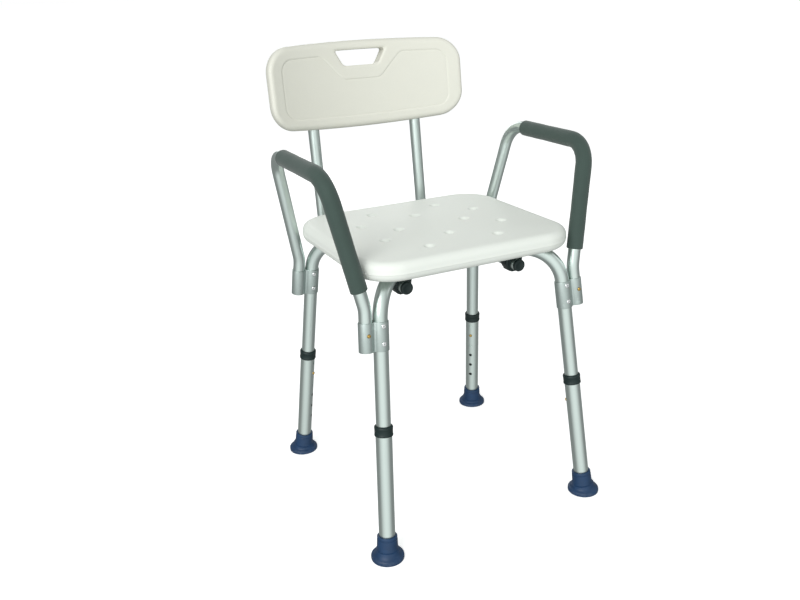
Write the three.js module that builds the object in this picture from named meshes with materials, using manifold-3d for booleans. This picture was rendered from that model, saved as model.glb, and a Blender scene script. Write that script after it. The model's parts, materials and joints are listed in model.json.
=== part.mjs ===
// Height-adjustable shower chair with a moulded seat, lift-off arms and a slide-off back.
// Millimetres, +Z up, -Y towards the front. Left and right are those of someone who
// stands in front of the chair and looks at it, so +X is to the right.

import * as THREE from 'three';
import { mergeVertices } from 'three/addons/utils/BufferGeometryUtils.js';
import Module from 'manifold-3d';

const wasm = await Module();
wasm.setup();

// ---- Fits and meshing ------------------------------------------------------------------
const FIT = 0.3; // gap between two pieces that touch or slide
const TUBE_SIDES = 12;
const TURNED_SIDES = 12;
const SMALL_SIDES = 6;
const BEND_STEP = 0.45; // largest turn of one facet around a bend, radians
const OVERRUN = 1; // how far a cutter runs past the face it opens

// ---- Seat ------------------------------------------------------------------------------
const SEAT_WIDTH = 406;
const SEAT_DEPTH = 350;
const SEAT_TOP = 511; // height of the top face above the floor
const SEAT_THICKNESS = 34;
const SEAT_CORNER = 68;
const SEAT_EDGE = 14; // rounding of the top and bottom edges
const SEAT_EDGE_STEPS = 2;
const SEAT_SHIFT = 2; // the seat sits this far behind the middle of the legs
const SEAT_WALL = 2.8;
const TUBE_GROOVE_DEPTH = 6; // how far the cross tubes sink into the underside
const DIMPLE_RADIUS = 9;
const DIMPLE_DEPTH = 7;
const DRAIN_RADIUS = 3.2;
const VENT_RADIUS = 3;
const DIMPLE_ROWS = [
  { across: 0, along: [-65, 66] },
  { across: 67, along: [-115, -1, 112] },
  { across: 116.5, along: [-48, 49] },
];

// ---- Frame tubes and legs --------------------------------------------------------------
const FRAME_TUBE = 25;
const FRAME_WALL = 1.2;
const FRAME_INSET_X = 27.6; // bend corner of a frame tube, in from the side of the seat
const FRAME_INSET_Y = 29.5; // and in from its front and rear edges
const FRAME_BEND = 65;
const FOOT_OUT_X = 32.4; // how far each foot stands outside the bend corner above it
const FOOT_OUT_Y = 59.8;
const CROSS_DIP_BEND = 40;
const CROSS_DIP_FLAT = 30; // half length of the lowered stretch where the tubes cross
const CROSS_DIP_RAMP = 52; // length of each ramp down to it
const LOWER_WALL = 1.2;
const LOWER_TUBE_START = 8; // measured from the floor along the leg
const LOWER_TUBE_END = 238;
const HOLE_COUNT = 6;
const HOLE_PITCH = 25.4;
const FIRST_HOLE_BELOW_TOP = 24.3;
const HOLES_ABOVE_BUTTON = 1; // the button sits in the second hole
const HOLE_RADIUS = 3.3;
const INNER_TUBE_BELOW_BUTTON = 39.4;

// ---- Snap buttons ----------------------------------------------------------------------
const BUTTON_RADIUS = 3;
const BUTTON_PROUD = 2;
const SPRING_THICKNESS = 0.9;
const SPRING_WIDTH = 5;
const SPRING_LENGTH = 30;
const SPRING_INSET = 1.2; // from the tube's inner wall to the spring legs
const SPRING_PAD = 5; // half length of the straight part behind a button
const BUTTON_ROUND = 0.8;

// ---- Leg collar and foot ---------------------------------------------------------------
const COLLAR_WALL = 1.6;
const COLLAR_SKIRT = 15.5; // length of the collar below the end of the lower tube
const COLLAR_LIP = 2;
const FOOT_RADIUS = 28.7;
const FOOT_FLANGE = 5;
const FOOT_EDGE = 1;
const FOOT_SHOULDER_HEIGHT = 15;
const FOOT_SHOULDER_RADIUS = 20.5;
const FOOT_SLEEVE_TOP = 41.5;
const FOOT_SLEEVE_WALL = 3;

// ---- Double sockets --------------------------------------------------------------------
const SOCKET_LENGTH = 49;
const SOCKET_WALL = 1.2;
const SOCKET_FLAT = 0.2; // how far a barrel's facets lie inside its circle
const SOCKET_BELOW_BEND = 0.6; // from the start of the frame tube's bend to the socket
const SOCKET_MERGE = 0.6; // how far the two barrels run into each other
const SOCKET_WEB = 9;
const RIVET_INSET = 7;
const RIVET_SPACING = 29.5;
const RIVET_SHANK = 2;
const RIVET_HEAD = 4;
const RIVET_HEAD_HEIGHT = 1.3;
const RIVET_HEAD_ROUND = 0.8;
const RIVET_BORE = 1.1; // the mandrel's hole, from the head inwards
const RIVET_BORE_DEPTH = 1.5;
const RIVET_BULGE = 1.2; // how far the blind end spreads
const RIVET_BULGE_LENGTH = 2.4;
const RIVET_SETTLE = 0.9; // from the tube's wall to the blind end's bulge
const ARM_BUTTON_BELOW_TOP = 20;

// ---- Arms ------------------------------------------------------------------------------
const ARM_TUBE = 22;
const ARM_WALL = 1.2;
const ARM_FLARE = 70.8; // top of the arm, outside the bend corner of the frame tube
const ARM_TOP_INSET = 28; // bend corners of the arm, in from those of the frame tube
const ARM_HEIGHT = 136.5; // arm centre line above the seat
const ARM_BEND = 47;
const ARM_LOW_BEND = 60;
const ARM_LOW_RISE = 21; // from the socket to the low bend
const ARM_END_INSIDE = 2; // from the arm tube's end to the bottom of the socket
const GRIP_WALL = 3;
const GRIP_ABOVE_LOW_BEND = 31;
const GRIP_BEHIND_BEND = 8; // plain tube left between the rear bend and the grip

// ---- Back ------------------------------------------------------------------------------
const BACK_TUBE = 22;
const BACK_WALL = 1.2;
const BACK_TUBE_SPREAD = 223; // between the two tubes
const BACK_FRONT_INSET = 53.5; // plug face, behind the front edge of the seat
const BACK_BEND = 50;
const BACK_SETBACK = 72; // foot of the posts, behind the rear edge of the seat
const BACK_LEAN = 6.8; // degrees from upright
const BACK_GAP = 147.5; // lower corners of the panel above the seat
const PANEL_WIDTH = 408;
const PANEL_HEIGHT = 148;
const PANEL_THICKNESS = 28;
const PANEL_WALL = 2.8;
const PANEL_SAG = 43; // how far the ends of the panel come forward of its middle
const PANEL_BOW = 9; // how far the upper and lower edges bow out in the middle
const PANEL_CORNER = 45;
const PANEL_EDGE = 10;
const PANEL_STEPS = 10;
const PANEL_TRIM = 1; // the corner cutter stands this far above and below the wall
const POST_BEHIND_PANEL = 6; // post axis behind the middle of the panel's wall
const POST_DEPTH = 112; // how far the posts reach up inside the panel
const SLOT_TOP_WIDTH = 109;
const SLOT_BOTTOM_WIDTH = 74;
const SLOT_HEIGHT = 27; // before the bow stretches it
const SLOT_BELOW_TOP = 15.5; // before the bow
const SLOT_CORNER = 6;
const PLUG_FLANGE = 6;
const PLUG_SHANK = 12;
const PLUG_CHAMFER = 1.5;

// ---- Saddle brackets under the seat ----------------------------------------------------
const SADDLE_LENGTH = 32;
const SADDLE_HALF_WIDTH = 20.5;
const SADDLE_TAPER = 3; // how much narrower it is beside the back tube
const SADDLE_EAR = 8;
const SADDLE_FLOOR = 2.6; // plastic below the back tube
const SADDLE_FOOT_HALF_WIDTH = 9;
const SADDLE_WEB = 1.6; // plastic between the back tube and the frame tube
const SCREW_ACROSS = 16;
const SCREW_ALONG = 11;
const SCREW_SHANK = 1.8;
const SCREW_HEAD = 3.2;
const SCREW_HEAD_HEIGHT = 2.2;
const SCREW_HEAD_ROUND = 0.8;
const SCREW_POINT = 2;
const SCREW_IN_SEAT = 12;
const SCREW_BOSS = 5;

// ---- Levels and places that follow from the sizes above ---------------------------------
const SEAT_UNDERSIDE = SEAT_TOP - SEAT_THICKNESS;
const CROSS_Z = SEAT_UNDERSIDE + TUBE_GROOVE_DEPTH - FIT - FRAME_TUBE / 2;
const CORNER_X = SEAT_WIDTH / 2 - FRAME_INSET_X;
const CORNER_Y = SEAT_DEPTH / 2 - FRAME_INSET_Y;
const FOOT_X = CORNER_X + FOOT_OUT_X;
const FOOT_Y = CORNER_Y + FOOT_OUT_Y;
const BACK_TUBE_Z = CROSS_Z - FRAME_TUBE / 2 - FIT - SADDLE_WEB - FIT - BACK_TUBE / 2;
const BACK_TUBE_X = BACK_TUBE_SPREAD / 2;
const LOWER_TUBE = FRAME_TUBE + 2 * (FIT + LOWER_WALL);
const FIRST_HOLE = LOWER_TUBE_END - FIRST_HOLE_BELOW_TOP;
const LEG_BUTTON = FIRST_HOLE - HOLES_ABOVE_BUTTON * HOLE_PITCH;
const INNER_TUBE_END = LEG_BUTTON - INNER_TUBE_BELOW_BUTTON;
const LEG_LENGTH = Math.hypot(FOOT_OUT_X, FOOT_OUT_Y, CROSS_Z);
const LEG_BARREL = FRAME_TUBE + 2 * FIT + 2 * SOCKET_WALL;
const ARM_BARREL = ARM_TUBE + 2 * FIT + 2 * SOCKET_WALL;
const BARREL_SPACING = (LEG_BARREL + ARM_BARREL) / 2 - SOCKET_MERGE;
const SEAT_FRONT = SEAT_SHIFT - SEAT_DEPTH / 2;
const POST_FOOT_Y = SEAT_SHIFT + SEAT_DEPTH / 2 + BACK_SETBACK;
const LEAN = THREE.MathUtils.degToRad(BACK_LEAN);
const PANEL_MIDDLE_Z = SEAT_TOP + BACK_GAP + PANEL_HEIGHT / 2;
const PANEL_RADIUS = ((PANEL_WIDTH / 2) ** 2 + PANEL_SAG ** 2) / (2 * PANEL_SAG);

const CORNERS = [
  { name: 'front_left', x: -1, y: -1 },
  { name: 'front_right', x: 1, y: -1 },
  { name: 'rear_left', x: -1, y: 1 },
  { name: 'rear_right', x: 1, y: 1 },
];
const SIDES = [
  { name: 'left', x: -1 },
  { name: 'right', x: 1 },
];

// ---- Materials --------------------------------------------------------------------------
const finish = (color, roughness, metalness) => ({ color, roughness, metalness });
const ALUMINIUM = finish(0xc3cac6, 0.35, 0.9);
const RIVET_METAL = finish(0xe4e6e6, 0.22, 1);
const BRASS = finish(0xb98a3c, 0.3, 1);
const STEEL = finish(0xa9acad, 0.35, 1);
const WHITE_PLASTIC = finish(0xe9ece6, 0.45, 0);
const DARK_PLASTIC = finish(0x1d2a27, 0.5, 0);
const FOAM = finish(0x3d4f47, 0.85, 0);
const RUBBER = finish(0x1f3763, 0.6, 0);

// ---- Solids -----------------------------------------------------------------------------
function solidOf(geometry) {
  const bare = geometry.clone();
  bare.deleteAttribute('normal');
  bare.deleteAttribute('uv');
  const merged = mergeVertices(bare, 1e-4);
  return new wasm.Manifold(
    new wasm.Mesh({
      numProp: 3,
      vertProperties: new Float32Array(merged.attributes.position.array),
      triVerts: new Uint32Array(merged.index.array),
    }),
  );
}

function geometryOf(solid) {
  const mesh = solid.getMesh();
  const geometry = new THREE.BufferGeometry();
  geometry.setAttribute('position', new THREE.BufferAttribute(mesh.vertProperties, 3));
  geometry.setIndex(new THREE.BufferAttribute(mesh.triVerts, 1));
  geometry.computeVertexNormals();
  return geometry;
}

function cutAway(geometry, cutters) {
  let solid = solidOf(geometry);
  for (const cutter of cutters) {
    solid = solid.subtract(solidOf(cutter));
  }
  return geometryOf(solid);
}

function joined(geometries) {
  const [first, ...rest] = geometries.map(solidOf);
  return geometryOf(rest.reduce((whole, piece) => whole.add(piece), first));
}

function piece(name, geometry, look) {
  const mesh = new THREE.Mesh(geometry, new THREE.MeshStandardMaterial(look));
  mesh.name = name;
  return mesh;
}

// ---- Frames of reference ----------------------------------------------------------------
// A matrix whose Z axis is `up` and whose X axis is `facing`, squared up to it.
function placed(origin, up, facing) {
  const z = up.clone().normalize();
  const x = facing.clone().addScaledVector(z, -facing.dot(z)).normalize();
  const y = z.clone().cross(x);
  return new THREE.Matrix4().makeBasis(x, y, z).setPosition(origin);
}

function legFoot(corner) {
  return new THREE.Vector3(corner.x * FOOT_X, corner.y * FOOT_Y, 0);
}

function legTop(corner) {
  return new THREE.Vector3(corner.x * CORNER_X, corner.y * CORNER_Y, CROSS_Z);
}

function legUp(corner) {
  return legTop(corner).sub(legFoot(corner)).normalize();
}

function alongLeg(corner, distance) {
  return legFoot(corner).addScaledVector(legUp(corner), distance);
}

const inwards = (corner) => new THREE.Vector3(-corner.x, -corner.y, 0);
const outwardsX = (corner) => new THREE.Vector3(corner.x, 0, 0);
const forwards = new THREE.Vector3(0, -1, 0);
const outwardsY = (corner) => new THREE.Vector3(0, corner.y, 0);
const vertical = new THREE.Vector3(0, 0, 1);

// ---- Shapes -----------------------------------------------------------------------------
function polygon(radius, sides) {
  const points = [];
  for (let i = 0; i < sides; i += 1) {
    const turn = (i + 0.5) * (2 * Math.PI / sides);
    points.push(new THREE.Vector2(radius * Math.cos(turn), radius * Math.sin(turn)));
  }
  return points;
}

// A bore's polygon stands outside its circle, so that what runs in it stays clear.
const boreRadius = (radius, sides) => radius / Math.cos(Math.PI / sides);

// An upright cylinder from `low` to `high`, faceted outside its circle.
function rod(radius, low, high, sides = SMALL_SIDES) {
  const shape = new THREE.Shape(polygon(boreRadius(radius, sides), sides));
  const geometry = new THREE.ExtrudeGeometry(shape, { depth: high - low, bevelEnabled: false });
  return geometry.translate(0, 0, low);
}

// A cylinder along X, from `low` to `high`.
const crossRod = (radius, low, high) => rod(radius, low, high).rotateY(Math.PI / 2);

// A piece turned about Z; the profile lists [radius, height] up the outside.
function turned(profile, sides = TURNED_SIDES) {
  const points = profile.map(([radius, height]) => new THREE.Vector2(radius, height));
  return new THREE.LatheGeometry(points, sides).rotateX(Math.PI / 2);
}

function roundedOutline(width, height, corner) {
  const x = width / 2 - corner;
  const y = height / 2 - corner;
  const shape = new THREE.Shape();
  shape.moveTo(-x, -y - corner);
  shape.absarc(x, -y, corner, -Math.PI / 2, 0);
  shape.absarc(x, y, corner, 0, Math.PI / 2);
  shape.absarc(-x, y, corner, Math.PI / 2, Math.PI);
  shape.absarc(-x, -y, corner, Math.PI, 1.5 * Math.PI);
  return shape;
}

// ---- Bent tubes -------------------------------------------------------------------------
// A path through fixed stations, each with its own tangent, so that straight runs stay
// one facet long and every facet falls on a bend.
class StationPath extends THREE.Curve {
  constructor(points, tangents) {
    super();
    this.points = points;
    this.tangents = tangents;
  }

  at(list, t) {
    return list[Math.round(t * (list.length - 1))].clone();
  }

  getPoint(t) {
    return this.at(this.points, t);
  }

  getPointAt(t) {
    return this.at(this.points, t);
  }

  getTangent(t) {
    return this.at(this.tangents, t);
  }

  getTangentAt(t) {
    return this.at(this.tangents, t);
  }

  getSpacedPoints() {
    return this.points.map((point) => point.clone());
  }
}

// Straight runs between `corners`, joined by arcs of the radii given.
function bentPath(corners, radii) {
  const points = [corners[0]];
  const tangents = [corners[1].clone().sub(corners[0]).normalize()];
  for (let i = 1; i < corners.length - 1; i += 1) {
    const before = corners[i].clone().sub(corners[i - 1]).normalize();
    const after = corners[i + 1].clone().sub(corners[i]).normalize();
    const turn = before.angleTo(after);
    const axis = before.clone().cross(after).normalize();
    const reach = radii[i - 1] * Math.tan(turn / 2);
    const start = corners[i].clone().addScaledVector(before, -reach);
    const towardsCentre = axis.clone().cross(before);
    const centre = start.clone().addScaledVector(towardsCentre, radii[i - 1]);
    const steps = Math.max(2, Math.ceil(turn / BEND_STEP));
    for (let k = 0; k <= steps; k += 1) {
      const angle = (turn * k) / steps;
      const spoke = start.clone().sub(centre).applyAxisAngle(axis, angle);
      points.push(centre.clone().add(spoke));
      tangents.push(before.clone().applyAxisAngle(axis, angle));
    }
  }
  const last = corners.length - 1;
  points.push(corners[last]);
  tangents.push(corners[last].clone().sub(corners[last - 1]).normalize());
  return new StationPath(points, tangents);
}

function tube(path, outside, inside) {
  const shape = new THREE.Shape(polygon(outside / 2, TUBE_SIDES));
  const bore = polygon(boreRadius(inside / 2, TUBE_SIDES), TUBE_SIDES);
  shape.holes.push(new THREE.Path(bore));
  return new THREE.ExtrudeGeometry(shape, {
    steps: path.points.length - 1,
    extrudePath: path,
  });
}

// ---- Seat -------------------------------------------------------------------------------
// The seat's outer skin, or the same shape `inset` smaller all round for its cavity.
function seatSlab(inset, edgeSteps) {
  const outline = roundedOutline(
    SEAT_WIDTH - 2 * SEAT_EDGE,
    SEAT_DEPTH - 2 * SEAT_EDGE,
    SEAT_CORNER - SEAT_EDGE,
  );
  const rounding = SEAT_EDGE - inset;
  const options = {
    depth: SEAT_THICKNESS - 2 * SEAT_EDGE,
    bevelThickness: rounding,
    bevelSize: rounding,
    bevelSegments: edgeSteps,
    curveSegments: 4,
  };
  const slab = new THREE.ExtrudeGeometry(outline, options);
  return slab.translate(0, SEAT_SHIFT, SEAT_UNDERSIDE + SEAT_EDGE);
}

// A drain: a shallow cone in the top face and a hole on down, grown by `grow`.
function drain(x, y, grow) {
  const slope = (DIMPLE_RADIUS - DRAIN_RADIUS) / DIMPLE_DEPTH;
  const profile = [
    [0, SEAT_UNDERSIDE - OVERRUN],
    [DRAIN_RADIUS + grow, SEAT_UNDERSIDE - OVERRUN],
    [DRAIN_RADIUS + grow, SEAT_TOP - DIMPLE_DEPTH - grow],
    [DIMPLE_RADIUS + grow + slope * OVERRUN, SEAT_TOP + OVERRUN],
    [0, SEAT_TOP + OVERRUN],
  ];
  return turned(profile, SMALL_SIDES).translate(x, y, 0);
}

function drains(grow) {
  const list = [];
  for (const { across, along } of DIMPLE_ROWS) {
    for (const y of along) {
      for (const x of across ? [-across, across] : [0]) {
        list.push(drain(x, y, grow));
      }
    }
  }
  return list;
}

// The straight stretch of both frame tubes under the seat, as two crossing rods.
function crossGrooves(grow) {
  const half = Math.hypot(CORNER_X, CORNER_Y) - FRAME_BEND / 3;
  const radius = FRAME_TUBE / 2 + FIT + grow;
  return [-1, 1].map((side) => {
    const along = new THREE.Vector3(side * CORNER_X, CORNER_Y, 0);
    const frame = placed(new THREE.Vector3(0, 0, CROSS_Z), along, vertical);
    return rod(radius, -half - grow, half + grow, TUBE_SIDES).applyMatrix4(frame);
  });
}

function saddleCentres() {
  const y = (BACK_TUBE_X * CORNER_Y) / CORNER_X;
  return CORNERS.map((corner) => ({
    name: corner.name,
    diagonal: corner.x * corner.y,
    x: corner.x * BACK_TUBE_X,
    y: corner.y * y,
  }));
}

// Each saddle has two screws, at the corners that its frame tube leaves free.
function screwPlaces() {
  return saddleCentres().flatMap(({ name, diagonal, x, y }) => [-1, 1].map((end) => ({
    name: `${name}_${end < 0 ? 'a' : 'b'}`,
    x: x + end * SCREW_ACROSS,
    y: y - end * diagonal * SCREW_ALONG,
  })));
}

function seat() {
  const blank = seatSlab(0, SEAT_EDGE_STEPS);
  const cavity = cutAway(seatSlab(SEAT_WALL, 1), [
    ...drains(SEAT_WALL),
    ...crossGrooves(SEAT_WALL),
    ...screwPlaces().map(({ x, y }) => (
      rod(SCREW_BOSS, SEAT_UNDERSIDE, SEAT_UNDERSIDE + SCREW_IN_SEAT + SEAT_WALL)
        .translate(x, y, 0)
    )),
  ]);
  const screwHoles = screwPlaces().map(({ x, y }) => (
    rod(SCREW_SHANK + FIT, SEAT_UNDERSIDE - OVERRUN, SEAT_UNDERSIDE + SCREW_IN_SEAT)
      .translate(x, y, 0)
  ));
  const vent = rod(VENT_RADIUS, SEAT_UNDERSIDE - OVERRUN, SEAT_UNDERSIDE + 2 * SEAT_WALL)
    .translate(0, -SEAT_DEPTH / 4, 0);
  const cuts = [cavity, ...drains(0), ...crossGrooves(0), ...screwHoles, vent];
  return piece('seat', cutAway(blank, cuts), WHITE_PLASTIC);
}

// ---- Frame tubes ------------------------------------------------------------------------
function rivetHeights() {
  const top = socketTop() - RIVET_INSET;
  return [top, top - RIVET_SPACING];
}

function bendReach() {
  const lean = Math.asin(CROSS_Z / LEG_LENGTH);
  return FRAME_BEND * Math.tan(lean / 2);
}

function socketTop() {
  return LEG_LENGTH - bendReach() - SOCKET_BELOW_BEND;
}

// Holes in a leg for the two rivets, and for its snap button.
function legHoles(corner) {
  const depth = LEG_BARREL;
  const rivets = placed(legFoot(corner), legUp(corner), forwards);
  const button = placed(legFoot(corner), legUp(corner), inwards(corner));
  const holes = rivetHeights().map((height) => (
    crossRod(RIVET_SHANK + FIT, 0, depth).translate(0, 0, height).applyMatrix4(rivets)
  ));
  holes.push(
    crossRod(HOLE_RADIUS, 0, depth).translate(0, 0, LEG_BUTTON).applyMatrix4(button),
  );
  return holes;
}

// One tube runs from a front leg, under the seat, to the rear leg across the chair.
// The dipped one passes below the other in the middle.
function frameTube(name, front, rear, dipped) {
  const ends = [front, rear];
  const tops = ends.map(legTop);
  const feet = ends.map((corner) => alongLeg(corner, INNER_TUBE_END));
  const middle = new THREE.Vector3(0, 0, CROSS_Z);
  const drop = new THREE.Vector3(0, 0, dipped ? -(FRAME_TUBE + 2 * FIT) : 0);
  const crossing = dipped
    ? tops.map((top) => {
      const out = top.clone().sub(middle).normalize();
      return [
        middle.clone().addScaledVector(out, CROSS_DIP_FLAT + CROSS_DIP_RAMP),
        middle.clone().addScaledVector(out, CROSS_DIP_FLAT).add(drop),
      ];
    })
    : [[], []];
  const corners = [
    feet[0],
    tops[0],
    ...crossing[0],
    ...crossing[1].reverse(),
    tops[1],
    feet[1],
  ];
  const dips = crossing.flat().map(() => CROSS_DIP_BEND);
  const path = bentPath(corners, [FRAME_BEND, ...dips, FRAME_BEND]);
  const bent = tube(path, FRAME_TUBE, FRAME_TUBE - 2 * FRAME_WALL);
  const rivetHole = rod(RIVET_SHANK + FIT, CROSS_Z - 2 * FRAME_TUBE, CROSS_Z);
  const holes = [...ends.flatMap(legHoles), rivetHole];
  return piece(name, cutAway(bent, holes), ALUMINIUM);
}

// A long blind rivet goes up through the dipped tube and opens inside the upper one.
function crossRivet() {
  const low = CROSS_Z - 1.5 * FRAME_TUBE - 3 * FIT;
  const inside = CROSS_Z - FRAME_TUBE / 2 + FRAME_WALL + RIVET_SETTLE;
  const profile = [
    [0, low - RIVET_HEAD_HEIGHT],
    [RIVET_HEAD - RIVET_HEAD_ROUND, low - RIVET_HEAD_HEIGHT],
    [RIVET_HEAD, low],
    [RIVET_SHANK, low],
    [RIVET_SHANK, inside],
    [RIVET_SHANK + RIVET_BULGE, inside],
    [RIVET_SHANK + RIVET_BULGE, inside + RIVET_BULGE_LENGTH],
    [0, inside + RIVET_BULGE_LENGTH],
  ];
  return piece('cross_rivet', turned(profile, SMALL_SIDES), RIVET_METAL);
}

// ---- Lower legs -------------------------------------------------------------------------
function lowerTube(corner) {
  const blank = tube(
    bentPath(
      [
        new THREE.Vector3(0, 0, LOWER_TUBE_START),
        new THREE.Vector3(0, 0, LOWER_TUBE_END),
      ],
      [],
    ),
    LOWER_TUBE,
    LOWER_TUBE - 2 * LOWER_WALL,
  );
  const holes = [];
  for (let i = 0; i < HOLE_COUNT; i += 1) {
    holes.push(
      crossRod(HOLE_RADIUS, 0, LOWER_TUBE).translate(0, 0, FIRST_HOLE - i * HOLE_PITCH),
    );
  }
  const mesh = piece(`lower_tube_${corner.name}`, cutAway(blank, holes), ALUMINIUM);
  mesh.applyMatrix4(placed(legFoot(corner), legUp(corner), inwards(corner)));
  return mesh;
}

function collar(corner) {
  const bore = boreRadius(LOWER_TUBE / 2 + FIT, TURNED_SIDES);
  const mouth = boreRadius(FRAME_TUBE / 2 + FIT, TURNED_SIDES);
  const low = LOWER_TUBE_END - COLLAR_SKIRT;
  const seatFace = LOWER_TUBE_END + FIT;
  const profile = [
    [bore, low],
    [bore + COLLAR_WALL, low],
    [bore + COLLAR_WALL, LOWER_TUBE_END],
    [bore, seatFace + COLLAR_LIP],
    [mouth, seatFace + COLLAR_LIP],
    [mouth, seatFace],
    [bore, seatFace],
    [bore, low],
  ];
  const mesh = piece(`leg_collar_${corner.name}`, turned(profile), DARK_PLASTIC);
  mesh.applyMatrix4(placed(legFoot(corner), legUp(corner), inwards(corner)));
  return mesh;
}

// The rubber foot: a flange that lies flat on the floor, and a sleeve that leans with the leg.
function foot(corner) {
  const sleeveRadius = LOWER_TUBE / 2 + FIT + FOOT_SLEEVE_WALL;
  const flange = turned([
    [0, 0],
    [FOOT_RADIUS - FOOT_EDGE, 0],
    [FOOT_RADIUS, FOOT_EDGE],
    [FOOT_RADIUS, FOOT_FLANGE],
    [FOOT_SHOULDER_RADIUS, FOOT_SHOULDER_HEIGHT],
    [0, FOOT_SHOULDER_HEIGHT],
  ]);
  const lean = placed(legFoot(corner), legUp(corner), inwards(corner));
  const sleeve = turned([
    [0, FOOT_FLANGE],
    [FOOT_SHOULDER_RADIUS - FOOT_EDGE, FOOT_FLANGE],
    [FOOT_SHOULDER_RADIUS - FOOT_EDGE, FOOT_SHOULDER_HEIGHT],
    [sleeveRadius, FOOT_SLEEVE_TOP - FOOT_EDGE],
    [sleeveRadius - FOOT_EDGE, FOOT_SLEEVE_TOP],
    [0, FOOT_SLEEVE_TOP],
  ]).applyMatrix4(lean);
  const bore = rod(
    LOWER_TUBE / 2 + FIT,
    LOWER_TUBE_START - FIT,
    FOOT_SLEEVE_TOP + OVERRUN,
    TURNED_SIDES,
  ).applyMatrix4(lean);
  const flangeHere = flange.applyMatrix4(new THREE.Matrix4().setPosition(legFoot(corner)));
  const body = cutAway(joined([flangeHere, sleeve]), [bore]);
  return piece(`foot_${corner.name}`, body, RUBBER);
}

// ---- Snap buttons -----------------------------------------------------------------------
// A button on one leg of a V spring, which bears on the far side of the tube's bore.
function snapButton(name, matrix, boreDiameter, proudAt) {
  const reach = boreDiameter / 2 - SPRING_INSET;
  const outline = new THREE.Shape([
    new THREE.Vector2(reach, -SPRING_PAD),
    new THREE.Vector2(reach, SPRING_PAD),
    new THREE.Vector2(SPRING_THICKNESS, SPRING_LENGTH),
    new THREE.Vector2(-SPRING_THICKNESS, SPRING_LENGTH),
    new THREE.Vector2(-reach, SPRING_PAD),
    new THREE.Vector2(-reach, -SPRING_PAD),
    new THREE.Vector2(-reach + SPRING_THICKNESS, -SPRING_PAD),
    new THREE.Vector2(-reach + SPRING_THICKNESS, SPRING_PAD),
    new THREE.Vector2(0, SPRING_LENGTH - 2 * SPRING_THICKNESS),
    new THREE.Vector2(reach - SPRING_THICKNESS, SPRING_PAD),
    new THREE.Vector2(reach - SPRING_THICKNESS, -SPRING_PAD),
  ]);
  const spring = new THREE.ExtrudeGeometry(outline, {
    depth: SPRING_WIDTH,
    bevelEnabled: false,
  });
  spring.translate(0, 0, -SPRING_WIDTH / 2).rotateX(Math.PI / 2);
  const tip = proudAt + BUTTON_PROUD;
  const button = turned([
    [0, reach - SPRING_THICKNESS / 2],
    [BUTTON_RADIUS, reach - SPRING_THICKNESS / 2],
    [BUTTON_RADIUS, tip - BUTTON_ROUND],
    [BUTTON_RADIUS / 2, tip],
    [0, tip],
  ], SMALL_SIDES).rotateY(Math.PI / 2);
  const mesh = piece(name, joined([spring, button]), BRASS);
  mesh.applyMatrix4(matrix);
  return mesh;
}

function legButton(corner) {
  const matrix = placed(alongLeg(corner, LEG_BUTTON), legUp(corner), inwards(corner));
  return snapButton(
    `leg_button_${corner.name}`,
    matrix,
    FRAME_TUBE - 2 * FRAME_WALL,
    LOWER_TUBE / 2,
  );
}

// ---- Double sockets ---------------------------------------------------------------------
const socketFrame = (corner) => placed(legFoot(corner), legUp(corner), outwardsX(corner));

// The axis of an arm barrel, at a distance along the leg.
function armAxis(corner, distance) {
  return new THREE.Vector3(BARREL_SPACING, 0, distance).applyMatrix4(socketFrame(corner));
}

function armButtonFrame(corner) {
  return placed(
    armAxis(corner, socketTop() - ARM_BUTTON_BELOW_TOP),
    legUp(corner),
    outwardsY(corner),
  );
}

function socket(corner) {
  const top = socketTop();
  const low = top - SOCKET_LENGTH;
  const frame = socketFrame(corner);
  const legBarrel = rod(LEG_BARREL / 2 - SOCKET_FLAT, low, top, TUBE_SIDES);
  const armBarrel = rod(ARM_BARREL / 2 - SOCKET_FLAT, low, top, TUBE_SIDES)
    .translate(BARREL_SPACING, 0, 0);
  const web = new THREE.BoxGeometry(BARREL_SPACING / 3, SOCKET_WEB, SOCKET_LENGTH)
    .translate(LEG_BARREL / 2, 0, (low + top) / 2);
  const legBore = rod(FRAME_TUBE / 2 + FIT, low - OVERRUN, top + OVERRUN, TUBE_SIDES);
  const armBore = rod(ARM_TUBE / 2 + FIT, low - OVERRUN, top + OVERRUN, TUBE_SIDES)
    .translate(BARREL_SPACING, 0, 0);
  const blank = joined([legBarrel, armBarrel, web]).applyMatrix4(frame);
  const cuts = [
    legBore.applyMatrix4(frame),
    armBore.applyMatrix4(frame),
    crossRod(HOLE_RADIUS, 0, ARM_BARREL).applyMatrix4(armButtonFrame(corner)),
    ...legHoles(corner).slice(0, 2),
  ];
  return piece(`arm_socket_${corner.name}`, cutAway(blank, cuts), ALUMINIUM);
}

// Hollow pop rivets hold each socket to its leg.
function socketRivets(corner) {
  const spread = RIVET_SHANK + RIVET_BULGE;
  const surface = LEG_BARREL / 2 + FIT;
  const inside = FRAME_TUBE / 2 - FRAME_WALL - RIVET_SETTLE;
  const profile = [
    [0, inside - RIVET_BULGE_LENGTH],
    [spread, inside - RIVET_BULGE_LENGTH],
    [spread, inside],
    [RIVET_SHANK, inside],
    [RIVET_SHANK, surface],
    [RIVET_HEAD, surface],
    [RIVET_HEAD - RIVET_HEAD_ROUND, surface + RIVET_HEAD_HEIGHT],
    [RIVET_BORE, surface + RIVET_HEAD_HEIGHT],
    [RIVET_BORE, surface - RIVET_BORE_DEPTH],
    [0, surface - RIVET_BORE_DEPTH],
  ];
  return rivetHeights().map((height, index) => {
    const frame = placed(alongLeg(corner, height), legUp(corner), forwards);
    const geometry = turned(profile, SMALL_SIDES).rotateY(Math.PI / 2);
    const level = index === 0 ? 'upper' : 'lower';
    const mesh = piece(`socket_rivet_${level}_${corner.name}`, geometry, RIVET_METAL);
    mesh.applyMatrix4(frame);
    return mesh;
  });
}

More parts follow.
